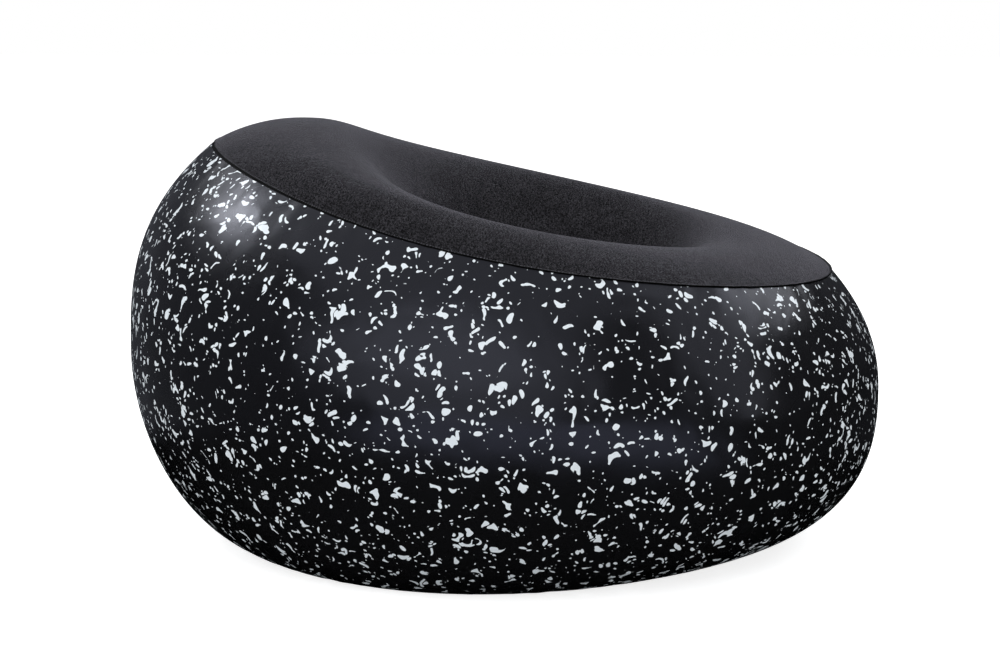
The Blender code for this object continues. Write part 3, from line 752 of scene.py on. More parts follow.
def flatten_at_valve(bm):
    for corner in bm.verts:
        local = corner.co - valve_point
        height = local.dot(valve_out)
        reach = (local - valve_out * height).length
        if reach > FLAT_RADIUS + FLAT_FADE or height < -LAP:
            continue
        share = min((FLAT_RADIUS + FLAT_FADE - reach) / FLAT_FADE, 1)
        corner.co -= valve_out * height * share * share * (3 - 2 * share)


def lay_melted_shade(part, which, lowest):
    """Faces above a height with all or any corners in a weld get the third finish, a pressed band
    that is partly painted shade.
    """
    marks = part.data.attributes["weld"].data
    for face in part.data.polygons:
        melts = which(marks[corner].value > 0.5 for corner in face.vertices)
        if melts and face.center.z > lowest:
            face.material_index = 2


def mark_again(part, middle, reach):
    """The corners that a cut made get the turn and the weld value that belong to their place."""
    turns = part.data.attributes["turn"].data
    welds = part.data.attributes["weld"].data
    for corner in part.data.vertices:
        if (corner.co - middle).length < reach:
            angle = math.atan2(corner.co.x, -corner.co.y)
            turns[corner.index].value = (angle - LAP_ANGLE) % math.tau / math.tau
            welds[corner.index].value = 0


wall_mesh = wrap(wall_rows(), lap=True)
flatten_at_valve(wall_mesh)
wall_finishes = [flecked, cut_edge_highlight, melted_print_shade]
wall = piece("wall_skin", wall_mesh, "chair", "patterned_pvc", wall_finishes, "side_wall")
# The faces at the seat's weld take the dull black band, which is partly painted shade.
lay_melted_shade(wall, any, SEAM_ONLY)
thicken(wall, SHEET, rim=1)
valve_hole = rod(HOLE_RADIUS, 10 * SHEET, (0, 0, 0))
valve_hole.transform(valve_place)
cut(wall, valve_hole)
mark_again(wall, valve_point, FLAT_RADIUS)
print("wall with its hole:", len(wall.data.polygons), "faces")

# %% [markdown]
# ## The seat
# The flocked sheet starts at the lip, rises over the crest and runs down into the hollow, where
# it is welded to the tie tube in a flat ring. Air lifts the disc inside the ring into a low dome.
# Deep radial puckers run up the hollow from the ring, because the whole sheet gathers there.

# %% Make the seat
CREST_ROWS = 18
CREST_CROWDING = 1.3
HOLLOW_ROWS = 46
HOLLOW_CROWDING = 1.25
DOME_ROWS = 10
DOME_PUCKER_SHARE = 0.18
LAND_MARK = 0.4
RING_WAVES = ((17, 0.30, 0.2), (26, 0.42, 1.0), (37, 0.32, 2.6), (11, 0.22, 0.9))
RING_DEPTH = 0.0042
RING_FADE = 0.045
LAND_PRESS = 0.0004


def seat_rows():
    rows = [row_of(lip_point, 1, share, mark=1) for share in (1, 0.5)]
    rows.append(row_of(lip_point, 1, 0, mark=ROOT_MARK))
    for row in range(1, CREST_ROWS + 1):
        share = (row / CREST_ROWS) ** CREST_CROWDING
        span = share * around(math.pi / 2, CREST_PLACE_SHARES) * around(math.pi / 2, SEAM_RADIUS)
        depth = PUCKER_DEPTH * SOFT_PUCKER_SHARE * math.exp(-span / PUCKER_FADE) * min(row / 2, 1)
        rows.append(row_of(crest_point, share, depth=depth, waves=SEAM_WAVES))
    for row in range(1, HOLLOW_ROWS + 1):
        share = 1 - (1 - row / HOLLOW_ROWS) ** HOLLOW_CROWDING
        span = (hollow_point(math.pi / 2, share) - hollow_point(math.pi / 2, 1)).length
        depth = RING_DEPTH * math.exp(-span / RING_FADE) * min(span / RING_FADE * 3, 1)
        rows.append(row_of(hollow_point, share, depth=depth, waves=RING_WAVES))
    for share in (0.06, 0.5, 0.94):
        radius = LAND_OUTER + (LAND_INNER - LAND_OUTER) * share
        height = HOLLOW_FLOOR - LAND_PRESS * (share != 0.5)
        rows.append(row_of(hollow_ring, radius, height, mark=LAND_MARK))
    for row in range(DOME_ROWS + 1):
        share = 1 - row / DOME_ROWS
        height = HOLLOW_FLOOR + FLOOR_DOME * (1 - share * share)
        depth = RING_DEPTH * DOME_PUCKER_SHARE * share * share * math.sin(share * math.pi)
        rows.append(row_of(hollow_ring, LAND_INNER * share, height, depth=depth, waves=RING_WAVES))
    return rows


def crest_point(angle, share):
    """A point from the weld (share 0) up to the crest (share 1)."""
    return seat_point(angle, share * around(angle, CREST_PLACE_SHARES))


def hollow_point(angle, share):
    """A point from the crest (share 0) down to the weld ring (share 1)."""
    crest = around(angle, CREST_PLACE_SHARES)
    return seat_point(angle, crest + (1 - crest) * share)


seat_finishes = [flocked, cut_edge_highlight, melted_lip_shade]
seat = piece("seat_flock", wrap(seat_rows()), "chair", "flocked_pvc", seat_finishes, "seat_sheet")
# The lip's faces take the pressed flock, which is partly painted shade and highlight.
lay_melted_shade(seat, all, 0)
thicken(seat, SHEET, rim=1)

# %% [markdown]
# ## The base
# Under the chair a plain sheet lies flat on the floor, except where the tube inside pulls it up
# into a dimple. Its rows run from the middle, over the ring of the weld, down to the floor and
# out to the wall's lap.

# %% Make the base
BASE_RING_WAVES = ((19, 0.42, 0.5), (28, 0.38, 2.0), (41, 0.30, 1.2))
BASE_RING_DEPTH = 0.0016
BASE_DOME_ROWS = 8
BASE_DOME_PUCKER_SHARE = 0.4
BASE_FALL_ROWS = 16


def base_rows():
    rows = []
    for row in range(BASE_DOME_ROWS + 1):
        share = row / BASE_DOME_ROWS
        height = DIMPLE_HEIGHT - DIMPLE_SAG * (1 - share * share)
        depth = BASE_RING_DEPTH * BASE_DOME_PUCKER_SHARE * share * share * math.sin(share * math.pi)
        radius = LAND_INNER * share
        rows.append(row_of(hollow_ring, radius, height, depth=depth, waves=BASE_RING_WAVES))
    rows.append(row_of(hollow_ring, (LAND_INNER + LAND_OUTER) / 2, DIMPLE_HEIGHT, mark=1))
    for row in range(BASE_FALL_ROWS + 1):
        share = 1 - row / BASE_FALL_ROWS
        radius = DIMPLE_RADIUS + (LAND_OUTER - DIMPLE_RADIUS) * share
        height = DIMPLE_HEIGHT * share ** DIMPLE_ROUNDNESS
        depth = -BASE_RING_DEPTH * math.sin(share * math.pi) ** 2
        rows.append(row_of(hollow_ring, radius, height, depth=depth, waves=BASE_RING_WAVES))
    return rows + [row_of(flat_point, share) for share in (0.25, 0.5, 0.75, 0.9, 1)]


def flat_point(angle, share):
    """A point on the floor, from the dimple's edge (share 0) out to the wall's foot (share 1)."""
    foot = meridian(angle, around(angle, FOOT_RADIUS), 0)
    return hollow_ring(angle, DIMPLE_RADIUS, 0).lerp(foot, share)


base = piece("base_skin", wrap(base_rows()), "chair", "plain_pvc", [base_pvc], "base_sheet")
thicken(base, SHEET)

# %% [markdown]
# ## Turned pieces
# The inner rings and every part of the valve are turned: half an outline, spun once round an
# axis. Sharp moulded edges don't exist, so the valve's edges get a small bevel, which catches
# the light. A piece is moved to its place only when it is finished.

# %% Turning helpers
TURN_STEPS = 96
ALONG_X = Matrix.Rotation(math.pi / 2, 3, "Y")


def turn(outline, steps=TURN_STEPS):
    """A closed shape from (radius, height) points; the outline is spun round local Z."""
    bm = bmesh.new()
    corners = [bm.verts.new((radius, 0, height)) for radius, height in outline]
    edges = [bm.edges.new(pair) for pair in zip(corners, corners[1:])]
    if outline[0][0] > 0:
        edges.append(bm.edges.new((corners[-1], corners[0])))
    bmesh.ops.spin(
        bm, geom=corners + edges, cent=(0, 0, 0), axis=(0, 0, 1), angle=math.tau,
        steps=steps, use_merge=True, use_duplicate=False,
    )
    bmesh.ops.remove_doubles(bm, verts=bm.verts, dist=GAP / 10)
    bmesh.ops.recalc_face_normals(bm, faces=bm.faces)
    return bm


def add_to(bm, other):
    """Puts another bmesh's faces into this one."""
    mesh = bpy.data.meshes.new("part")
    other.to_mesh(mesh)
    other.free()
    bm.from_mesh(mesh)
    bpy.data.meshes.remove(mesh)


def soften(bm, width, degrees=25, segments=2):
    """Bevels every edge that turns by more than some degrees."""
    sharp = [
        edge for edge in bm.edges
        if len(edge.link_faces) == 2 and edge.calc_face_angle(0) > math.radians(degrees)
    ]
    bmesh.ops.bevel(
        bm, geom=sharp, offset=width, segments=segments, profile=0.5, affect="EDGES", material=-1,
        clamp_overlap=True,
    )
    return bm


def ring_band(outer, inner, low, high):
    return turn([(outer, high), (outer, low), (inner, low), (inner, high)])


# %% [markdown]
# ## The tie tube and its rings
# The tube and its rings are inside, but they are what gives the seat its hollow. Its flanges are
# welded under the seat and over the base, each with a ring that keeps the weld from tearing, and
# its holes let the air pass. Three rods, each right across, cut the six holes.

# %% Make the tube and the rings
RING_THICKNESS = 0.0005
RING_MARGIN = 0.006
VENT_RADIUS = 0.0125
VENT_COUNT = 6
SEAT_RING_TOP = HOLLOW_FLOOR - SHEET - GAP
TUBE_TOP = SEAT_RING_TOP - RING_THICKNESS - GAP
BASE_RING_LOW = DIMPLE_HEIGHT + SHEET + GAP
TUBE_LOW = BASE_RING_LOW + RING_THICKNESS + GAP
TUBE_MIDDLE = (TUBE_TOP + TUBE_LOW) / 2

tube_places = (
    (LAND_OUTER, TUBE_TOP), (LAND_INNER, TUBE_TOP), (LAND_INNER, TUBE_MIDDLE),
    (LAND_INNER, TUBE_LOW), (LAND_OUTER, TUBE_LOW),
)
tube_mesh = wrap([row_of(hollow_ring, *place) for place in tube_places])
tube = piece("tie_tube", tube_mesh, "chair", "tie_pvc", [tie_pvc], "tether_tube")
thicken(tube, SHEET)
vents = bmesh.new()
for index in range(VENT_COUNT // 2):
    angle = Matrix.Rotation(index * math.tau / VENT_COUNT, 3, "Z")
    middle = (0, HOLLOW_SHIFT, TUBE_MIDDLE)
    add_to(vents, rod(VENT_RADIUS, 2 * LAND_OUTER, middle, angle @ ALONG_X, 48))
cut(tube, vents)

for name, low in (
    ("seat_reinforcing_ring", SEAT_RING_TOP - RING_THICKNESS),
    ("base_reinforcing_ring", BASE_RING_LOW),
):
    ring = ring_band(LAND_OUTER + RING_MARGIN, LAND_INNER, low, low + RING_THICKNESS)
    ring.transform(Matrix.Translation((0, HOLLOW_SHIFT, 0)))
    piece(name + "_disc", ring, "chair", "plain_pvc", [base_pvc], name)
print("tube from", round(TUBE_LOW, 4), "to", round(TUBE_TOP, 4))

# %% [markdown]
# ## The valve's fixed parts
# The base is a flange behind the wall with a collar that carries the thread. The insert is a grey
# sleeve pressed into the collar, with a rubber ring in its groove and two ears for the flap's pin.
# Heights are counted outward from the wall's outer face, radii from the valve's axis, and most
# sizes follow from the collar's. An outline is listed from its outer top corner downwards and
# back up its bore. The thread is a small four-sided outline, spun with a rise at each step.

# %% Valve helpers
EDGE = 0.0003
SHARP_DEGREES = 35


def valve_piece(name, bm, body, slot, finish, node_name):
    """A piece made round local Z, moved to the valve, with its larger angles left sharp."""
    bm.transform(valve_place)
    thing = piece(name, bm, body, slot, [finish], node_name)
    thing.data.set_sharp_from_angle(angle=math.radians(SHARP_DEGREES))
    return thing


def block(low, high):
    """A box between two corners."""
    bm = bmesh.new()
    size = Vector(high) - Vector(low)
    place = (Vector(high) + Vector(low)) / 2
    bmesh.ops.create_cube(bm, size=1, matrix=Matrix.Translation(place) @ Matrix.Diagonal((*size, 1)))
    return bm


# %% Make the collar with its flange and thread
COLLAR_RADIUS = 0.0170
COLLAR_BORE = 0.0145
COLLAR_OUT = 0.0090
COLLAR_IN = 0.0060
FLANGE_RADIUS = 0.0270
FLANGE_THICKNESS = 0.0012
FLANGE_TOP = -SHEET - GAP
FLANGE_LOW = FLANGE_TOP - FLANGE_THICKNESS
THREAD_PITCH = 0.0040
THREAD_DEPTH = 0.0012
THREAD_START = 0.0038
THREAD_SINK = 0.0003
THREAD_ROOT_HALF = 0.0008
THREAD_CREST_HALF = 0.0004


def thread(root, crest, middle, start, turns):
    """A ridge swept up a right-hand helix; root and crest are radii, either way round."""
    bm = bmesh.new()
    base = middle + THREAD_PITCH * start / math.tau
    outline = (
        (root, -THREAD_ROOT_HALF), (crest, -THREAD_CREST_HALF),
        (crest, THREAD_CREST_HALF), (root, THREAD_ROOT_HALF),
    )
    corners = [bm.verts.new((radius, 0, base + height)) for radius, height in outline]
    face = bm.faces.new(corners)
    bmesh.ops.rotate(bm, verts=bm.verts, matrix=Matrix.Rotation(start, 3, "Z"))
    steps = round(turns * TURN_STEPS)
    bmesh.ops.spin(
        bm, geom=corners + list(face.edges) + [face], cent=(0, 0, 0), axis=(0, 0, 1),
        dvec=(0, 0, THREAD_PITCH * turns / steps), angle=turns * math.tau, steps=steps,
        use_duplicate=False,
    )
    bmesh.ops.remove_doubles(bm, verts=bm.verts, dist=GAP / 10)
    bmesh.ops.recalc_face_normals(bm, faces=bm.faces)
    return bm


collar = soften(turn([
    (COLLAR_RADIUS, COLLAR_OUT), (COLLAR_RADIUS, FLANGE_TOP), (FLANGE_RADIUS, FLANGE_TOP),
    (FLANGE_RADIUS, FLANGE_LOW), (COLLAR_RADIUS, FLANGE_LOW), (COLLAR_RADIUS, -COLLAR_IN),
    (COLLAR_BORE, -COLLAR_IN), (COLLAR_BORE, COLLAR_OUT),
]), EDGE)
add_to(collar, soften(thread(
    COLLAR_RADIUS - THREAD_SINK, COLLAR_RADIUS + THREAD_DEPTH, THREAD_START, 0, 1
), EDGE / 2))
valve_piece("valve_collar", collar, "chair", "valve_plastic", valve_black, "valve_base")

# %% Make the sleeve
SLEEVE_PLAY = 0.0009
SLEEVE_WALL = 0.0026
SLEEVE_RADIUS = COLLAR_BORE - SLEEVE_PLAY
SLEEVE_BORE = SLEEVE_RADIUS - SLEEVE_WALL
SLEEVE_IN = 0.0090
RIM_THICKNESS = 0.0015
RIM_LOW = COLLAR_OUT + GAP
RIM_TOP = RIM_LOW + RIM_THICKNESS
GROOVE_DEPTH = 0.0012
GROOVE_RADIUS = SLEEVE_RADIUS - GROOVE_DEPTH
GROOVE_PLACE = 0.0032
GROOVE_HALF = 0.0012
HINGE_PLACE = 0.0135
HINGE_DROP = 0.0022
HINGE_LEVEL = -SLEEVE_IN - HINGE_DROP
KNUCKLE_RADIUS = 0.0018
EAR_INNER = 0.0050
EAR_OUTER = 0.0070
EAR_FOOT = 0.0115
EAR_SINK = 0.0010

sleeve = soften(turn([
    (COLLAR_RADIUS, RIM_TOP), (COLLAR_RADIUS, RIM_LOW), (SLEEVE_RADIUS, RIM_LOW),
    (SLEEVE_RADIUS, GROOVE_PLACE + GROOVE_HALF), (GROOVE_RADIUS, GROOVE_PLACE + GROOVE_HALF),
    (GROOVE_RADIUS, GROOVE_PLACE - GROOVE_HALF), (SLEEVE_RADIUS, GROOVE_PLACE - GROOVE_HALF),
    (SLEEVE_RADIUS, -SLEEVE_IN), (SLEEVE_BORE, -SLEEVE_IN), (SLEEVE_BORE, RIM_TOP),
]), EDGE)
for side in (-1, 1):
    near, far = sorted((side * EAR_INNER, side * EAR_OUTER))
    low_corner = (near, EAR_FOOT, HINGE_LEVEL)
    high_corner = (far, HINGE_PLACE + KNUCKLE_RADIUS, -SLEEVE_IN + EAR_SINK)
    add_to(sleeve, soften(block(low_corner, high_corner), EDGE / 2))
    middle = ((near + far) / 2, HINGE_PLACE, HINGE_LEVEL)
    add_to(sleeve, soften(rod(KNUCKLE_RADIUS, far - near, middle, ALONG_X, 32), EDGE / 2))
valve_piece("valve_sleeve", sleeve, "chair", "valve_insert_plastic", valve_grey, "valve_insert")

# %% Make the sleeve's seal
SEAL_RADIUS = (COLLAR_BORE - GROOVE_RADIUS) / 2 - GAP
SEAL_PLACE = (COLLAR_BORE + GROOVE_RADIUS) / 2
SEAL_SIDES = 20

seal_turns = [-index * math.tau / SEAL_SIDES for index in range(SEAL_SIDES)]
seal = turn([
    (SEAL_PLACE + SEAL_RADIUS * math.cos(a), GROOVE_PLACE + SEAL_RADIUS * math.sin(a))
    for a in seal_turns
])
valve_piece("sleeve_seal", seal, "chair", "valve_rubber", soft_rubber, "insert_seal")

# %% [markdown]
# ## The flap
# A rubber disc hangs from a steel pin inside the sleeve's end. Air that tries to leave presses it
# shut, and a pump's nozzle pushes it in. A short tab joins the disc to its knuckle.

# %% Make the flap and its pin
PIN_RADIUS = 0.0008
FLAP_RADIUS = 0.0122
FLAP_THICKNESS = 0.0012
FLAP_TOP = -SLEEVE_IN - GAP
FLAP_LOW = FLAP_TOP - FLAP_THICKNESS
FLAP_TAB = 0.0036
KNUCKLE_PLAY = 0.0004

flap = soften(rod(FLAP_RADIUS, FLAP_TOP - FLAP_LOW, (0, 0, (FLAP_TOP + FLAP_LOW) / 2)), EDGE)
knuckle_half = EAR_INNER - KNUCKLE_PLAY
tab_low = (-knuckle_half, HINGE_PLACE - FLAP_TAB, FLAP_LOW - EDGE)
add_to(flap, soften(block(tab_low, (knuckle_half, HINGE_PLACE, FLAP_TOP - EDGE)), EDGE / 2))
hinge = (0, HINGE_PLACE, HINGE_LEVEL)
add_to(flap, soften(rod(KNUCKLE_RADIUS, 2 * knuckle_half, hinge, ALONG_X, 32), EDGE / 2))
valve_piece("flap_disc", flap, "flap", "valve_rubber", soft_rubber, "check_flap")
pin = soften(rod(PIN_RADIUS, 2 * (EAR_OUTER + GAP), hinge, ALONG_X, 24), EDGE / 2)
valve_piece("hinge_pin", pin, "chair", "pin_steel", pin_steel, "flap_pin")

# %% [markdown]
# ## The cap
# The cap is a ribbed cup with a button on top, which holds the strap. Its outline starts at the
# axis, so the spin closes both ends. The ribs are rods sunk half into the cup's side, so that a
# wet hand can turn it.

# %% Make the cap
RING_THICK = 0.0012
RING_TOP = GAP + RING_THICK
CAP_PLAY = 0.0004
CAP_WALL = 0.0024
CAP_ROOF = 0.0020
CAP_ROUND = 0.0010
CAP_SEAL_ROOM = 0.0014
CAP_BORE = COLLAR_RADIUS + THREAD_DEPTH + CAP_PLAY
CAP_RADIUS = CAP_BORE + CAP_WALL
CAP_FOOT = RING_TOP + GAP
CAP_CEILING = RIM_TOP + CAP_SEAL_ROOM
CAP_HEIGHT = CAP_CEILING + CAP_ROOF
CAP_THREAD_PLAY = 0.0005
CAP_THREAD_TURNS = 0.75
NECK_RADIUS = 0.0040
NECK_HEIGHT = 0.0018
NECK_TOP = CAP_HEIGHT + NECK_HEIGHT
BUTTON_RADIUS = 0.0060
BUTTON_THICKNESS = 0.0015
BUTTON_ROUND = 0.0006
BUTTON_TOP = NECK_TOP + BUTTON_THICKNESS
RIB_COUNT = 12
RIB_RADIUS = 0.0008
RIB_MARGIN = 0.0030
RIB_ROUND = 0.0005

cap = soften(turn([
    (0, BUTTON_TOP), (BUTTON_RADIUS - BUTTON_ROUND, BUTTON_TOP),
    (BUTTON_RADIUS, BUTTON_TOP - BUTTON_ROUND), (BUTTON_RADIUS, NECK_TOP),
    (NECK_RADIUS, NECK_TOP), (NECK_RADIUS, CAP_HEIGHT), (CAP_RADIUS - CAP_ROUND, CAP_HEIGHT),
    (CAP_RADIUS, CAP_HEIGHT - CAP_ROUND), (CAP_RADIUS, CAP_FOOT), (CAP_BORE, CAP_FOOT),
    (CAP_BORE, CAP_CEILING), (0, CAP_CEILING),
]), EDGE)
add_to(cap, soften(thread(
    CAP_BORE + THREAD_SINK, COLLAR_RADIUS + CAP_THREAD_PLAY, THREAD_START - THREAD_PITCH / 2,
    math.pi, CAP_THREAD_TURNS,
), EDGE / 2))
for index in range(RIB_COUNT):
    place = outward((index + 0.5) * math.tau / RIB_COUNT) * CAP_RADIUS
    place.z = (CAP_HEIGHT + CAP_FOOT) / 2
    rib = rod(RIB_RADIUS, CAP_HEIGHT - CAP_FOOT - RIB_MARGIN, place, segments=20)
    add_to(cap, soften(rib, RIB_ROUND, segments=3))
valve_piece("ribbed_cap", cap, "cap", "valve_plastic", valve_black, "valve_cap")
print("cap radius", round(CAP_RADIUS, 4), "and height", round(CAP_HEIGHT, 4))

# %% Make the cap's seal
CAP_SEAL_OUTER = CAP_BORE - 0.0005
CAP_SEAL_BORE = 0.0112
CAP_SEAL_LOW = RIM_TOP + GAP
CAP_SEAL_TOP = CAP_SEAL_LOW + 0.0008

cap_seal = soften(ring_band(CAP_SEAL_OUTER, CAP_SEAL_BORE, CAP_SEAL_LOW, CAP_SEAL_TOP), EDGE / 2)
valve_piece("cap_seal", cap_seal, "cap", "valve_rubber", soft_rubber, "cap_gasket")

# %% [markdown]
# ## The strap
# The strap's eye turns round the button, and its band bends down to the tab of a ring on the
# collar's foot, so that the cap can't be lost. The band is a flat grid, bent by a formula along
# its length and then given its thickness. Its top moves with the cap's rise and its foot stays on
# the chair, so it belongs to neither body.

# %% Make the strap
STRAP_THICKNESS = 0.0010
STRAP_LOW = CAP_HEIGHT + GAP
STRAP_HIGH = STRAP_LOW + STRAP_THICKNESS
STRAP_MIDDLE = (STRAP_LOW + STRAP_HIGH) / 2
STRAP_HALF_WIDTH = 0.0030
STRAP_BEND = 0.0060
EYE_RADIUS = 0.0080
EYE_PLAY = 0.0004
EYE_BORE = NECK_RADIUS + EYE_PLAY
BAND_START = 0.0010
BAND_THICKNESS = 0.0008
BAND_STEPS = (40, 4)

strap = soften(ring_band(EYE_RADIUS, EYE_BORE, STRAP_LOW, STRAP_HIGH), EDGE)
run = CAP_RADIUS - EYE_BORE - BAND_START
bend = STRAP_BEND * math.pi / 2
drop = STRAP_MIDDLE - STRAP_BEND - RING_TOP - GAP
band = bmesh.new()
bmesh.ops.create_grid(band, x_segments=BAND_STEPS[0], y_segments=BAND_STEPS[1], size=1)
for corner in band.verts:
    along = (corner.co.x + 1) / 2 * (run + bend + drop)
    a = min(max(along - run, 0), bend) / STRAP_BEND
    reach = EYE_BORE + BAND_START + min(along, run) + STRAP_BEND * math.sin(a)
    height = STRAP_MIDDLE - STRAP_BEND * (1 - math.cos(a)) - max(along - run - bend, 0)
    corner.co = (reach, corner.co.y * STRAP_HALF_WIDTH, height)
bmesh.ops.recalc_face_normals(band, faces=band.faces)
bmesh.ops.solidify(band, geom=band.faces, thickness=-BAND_THICKNESS)
add_to(strap, soften(band, EDGE / 2, degrees=50))
strap = valve_piece("cap_band", strap, None, "valve_rubber", soft_rubber, "cap_strap")
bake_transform(strap)

# %% Make the ring that holds the strap
RING_BORE = COLLAR_RADIUS + GAP
RING_WIDTH = 0.0032
TAB_INSET = 0.0016
TAB_MARGIN = 0.0030

strap_ring = soften(ring_band(RING_BORE + RING_WIDTH, RING_BORE, GAP, RING_TOP), EDGE)
tab_low = (RING_BORE + TAB_INSET, -STRAP_HALF_WIDTH, 2 * GAP)
tab_high = (CAP_RADIUS + STRAP_BEND + TAB_MARGIN, STRAP_HALF_WIDTH, RING_TOP - GAP)
add_to(strap_ring, soften(block(tab_low, tab_high), EDGE))
valve_piece("strap_ring", strap_ring, "chair", "valve_rubber", soft_rubber, "strap_anchor_ring")

# %% [markdown]
# ## The studio
# The photograph shows what surrounds the chair only by reflection: a large panel behind the
# camera, a narrower one at the right with a dark gap between them, a panel overhead, and a small
# bright lamp behind at the left with a soft halo. Each is an area light that faces the chair,
# placed by how far round it is from the camera's side and how high it is. Its power follows from
# how bright it looks, so its size can change alone. The last one only fills the seat softly from
# the chair's back, and gloss doesn't see it.

# %% Softboxes
STUDIO_MIDDLE = Vector((0, 0, 0.30))
LAMP_COLOUR = (0.96, 0.98, 1.0)
PANELS = (
    # name, degrees round, degrees up, distance, width, height, radiance
    ("front_panel", -14, 25, 4.2, 6.8, 4.8, 0.76),
    ("front_panel_high", -16, 34, 3.9, 4.2, 2.2, 0.60),
    ("side_panel", 71, 25, 4.0, 1.9, 5.0, 0.78),
    ("side_panel_high", 110, 36, 3.6, 2.8, 1.5, 2.6),
    ("top_panel", 0, 88, 3.0, 5.2, 5.2, 0.62),
    ("lamp_halo", -128, 42, 3.4, 2.0, 1.5, 0.95),
    ("lamp", -109, 42, 3.2, 0.72, 0.72, 10.5),
    ("back_fill", -100, 28, 3.6, 2.4, 1.6, 1.5),
)


def heading(azimuth, elevation=0):
    """A direction from the chair; the azimuth is counted from the camera's side, rightwards."""
    turn = CAMERA_AZIMUTH + math.radians(azimuth)
    rise = math.radians(elevation)
    level = math.cos(rise)
    return Vector((math.sin(turn) * level, -math.cos(turn) * level, math.sin(rise)))


def softbox(name, azimuth, elevation, distance, width, height, radiance):
    """An oval area light that faces the chair; its power follows from its radiance."""
    data = bpy.data.lights.new(name, "AREA")
    data.shape = "ELLIPSE"
    data.size = width
    data.size_y = height
    data.energy = radiance * math.pi * width * height * math.pi / 4
    data.color = LAMP_COLOUR
    lamp = bpy.data.objects.new(name, data)
    lamp.location = STUDIO_MIDDLE + heading(azimuth, elevation) * distance
    lamp.rotation_mode = "QUATERNION"
    lamp.rotation_quaternion = (lamp.location - STUDIO_MIDDLE).to_track_quat("Z", "Y")
    lamp.visible_camera = False
    bpy.context.scene.collection.objects.link(lamp)
    return lamp


lamps = [softbox(*panel) for panel in PANELS]
lamps[-1].visible_glossy = False
print("lamps:", len(lamps))

# %% [markdown]
# ## The room
# The world is white for the camera, an even light for matt surfaces, and dim for gloss. Light
# Path tells the three apart. The photograph's reflections are darker on the right of the chair
# than on the left, so what gloss sees of the room and of the floor fades from left to right.

# %% World
WHITE_LEVEL = 1.0
AMBIENT_LEVEL = 0.33
REFLECTED_RIGHT = 0.04
REFLECTED_LEFT = 0.145
REFLECTED_COLOUR = (0.80, 0.84, 1.0, 1.0)
LEFT_HEADING = -90
LEFT_SPREAD = (-0.6, 0.8)


def dot(tree, way, other):
    """The dot product of a direction in the graph and a fixed one."""
    return node(tree, "ShaderNodeVectorMath", "DOT_PRODUCT", i0=way, i1=other).outputs["Value"]


def left_share(tree, way, right, left):
    """A level that runs from the room's right to its left, for a direction of length 1."""
    return ramp(tree, dot(tree, way, heading(LEFT_HEADING)), right, left, *LEFT_SPREAD)


scene = bpy.context.scene
scene.view_settings.view_transform = "Standard"
world = bpy.data.worlds.new("studio")
world.use_nodes = True
scene.world = world
tree = world.node_tree
tree.nodes.clear()
rays = tree.nodes.new("ShaderNodeLightPath").outputs
direction = tree.nodes.new("ShaderNodeTexCoord").outputs["Generated"]
reflected = left_share(tree, direction, REFLECTED_RIGHT, REFLECTED_LEFT)
level = calculate(tree, "SUBTRACT", reflected, AMBIENT_LEVEL)
level = calculate(tree, "MULTIPLY", rays["Is Glossy Ray"], level)
level = calculate(tree, "ADD", level, AMBIENT_LEVEL)
seen = calculate(tree, "MULTIPLY", rays["Is Camera Ray"], WHITE_LEVEL - AMBIENT_LEVEL)
level = calculate(tree, "ADD", level, seen)
hue = mix(tree, rays["Is Glossy Ray"], (1, 1, 1, 1), REFLECTED_COLOUR)
around_us = node(tree, "ShaderNodeBackground", Color=hue, Strength=level)
node(tree, "ShaderNodeOutputWorld", Surface=around_us.outputs["Background"])
print("world made")

# %% [markdown]
# ## The floor
# For the camera the floor is white: a glow, a little weaker near the chair, and a matt surface
# that makes up the rest where light falls on it, so that the chair keeps a soft shadow. In a
# reflection the floor shows a painted glow, a pool of light in front of the chair, as under a
# photographer's panels.

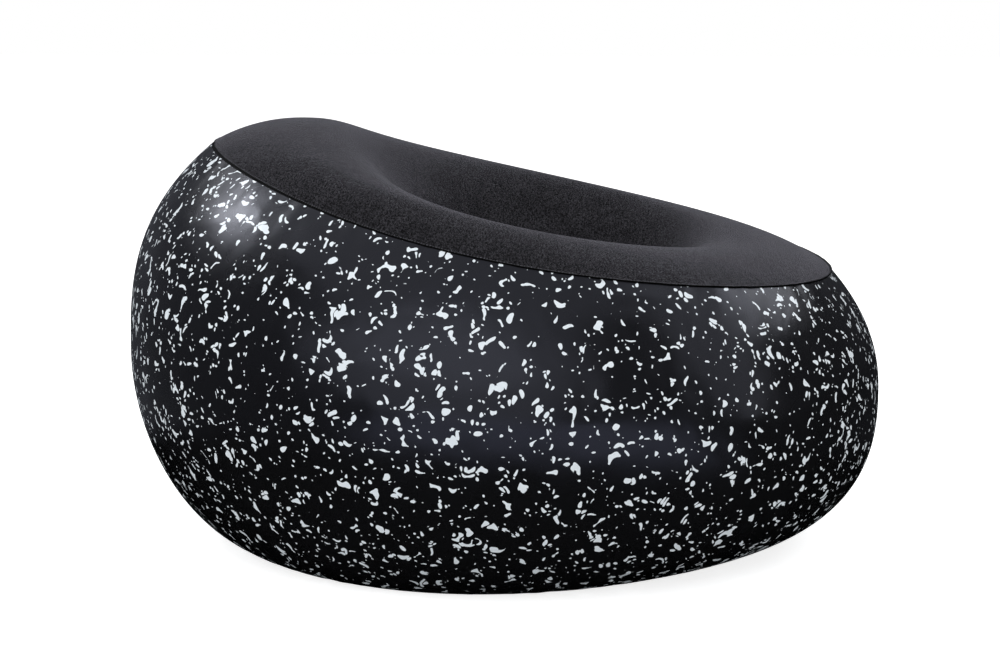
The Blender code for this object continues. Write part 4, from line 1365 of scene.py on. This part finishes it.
# %% Floor
FLOOR_SIZE = 12.0
FLOOR_MATT = (0.8, 0.8, 0.8, 1.0)
SHADOW_KEPT = 0.80
SHADOW_NEAR = 0.50
SHADOW_FAR = 1.50
POOL_NEAR = 0.76
POOL_FAR = 1.00
POOL_LEVEL = 1.0
POOL_EDGE_RIGHT = 0.02
POOL_EDGE_LEFT = 0.09
POOL_HEADING = 8
POOL_FACING = (0.66, 0.90)


def floor_white():
    """White for the camera but for the chair's soft shadow; a painted glow in front in reflections.
    """
    made = bpy.data.materials.new("floor_white")
    made.use_nodes = True
    tree = made.node_tree
    tree.nodes.clear()
    rays = tree.nodes.new("ShaderNodeLightPath").outputs
    place = object_place(tree)
    reach = node(tree, "ShaderNodeVectorMath", "LENGTH", i0=place).outputs["Value"]
    way = node(tree, "ShaderNodeVectorMath", "NORMALIZE", i0=place).outputs["Vector"]
    own = ramp(tree, reach, SHADOW_KEPT, WHITE_LEVEL, SHADOW_NEAR, SHADOW_FAR)
    glow = node(tree, "ShaderNodeEmission", Strength=own)
    matt = node(tree, "ShaderNodeBsdfDiffuse", Color=FLOOR_MATT)
    seen = node(tree, "ShaderNodeAddShader", i0=glow.outputs[0], i1=matt.outputs[0])
    facing = dot(tree, way, heading(POOL_HEADING))
    edge = left_share(tree, way, POOL_EDGE_RIGHT, POOL_EDGE_LEFT)
    level = ramp(tree, facing, edge, POOL_LEVEL, *POOL_FACING)
    pool = calculate(tree, "MULTIPLY", ramp(tree, reach, 0, 1, POOL_NEAR, POOL_FAR), level)
    pooled = node(tree, "ShaderNodeEmission", Color=REFLECTED_COLOUR, Strength=pool)
    other = node(
        tree, "ShaderNodeMixShader", i0=rays["Is Glossy Ray"], i1=matt.outputs[0],
        i2=pooled.outputs[0],
    )
    chosen = node(
        tree, "ShaderNodeMixShader", i0=rays["Is Camera Ray"], i1=other.outputs[0],
        i2=seen.outputs[0],
    )
    node(tree, "ShaderNodeOutputMaterial", Surface=chosen.outputs[0])
    return made


floor_mesh = bmesh.new()
bmesh.ops.create_grid(floor_mesh, x_segments=1, y_segments=1, size=FLOOR_SIZE)
floor_data = bpy.data.meshes.new("floor")
floor_mesh.to_mesh(floor_data)
floor_mesh.free()
floor_data.materials.append(floor_white())
floor = bpy.data.objects.new("floor", floor_data)
scene.collection.objects.link(floor)
print("studio ready")
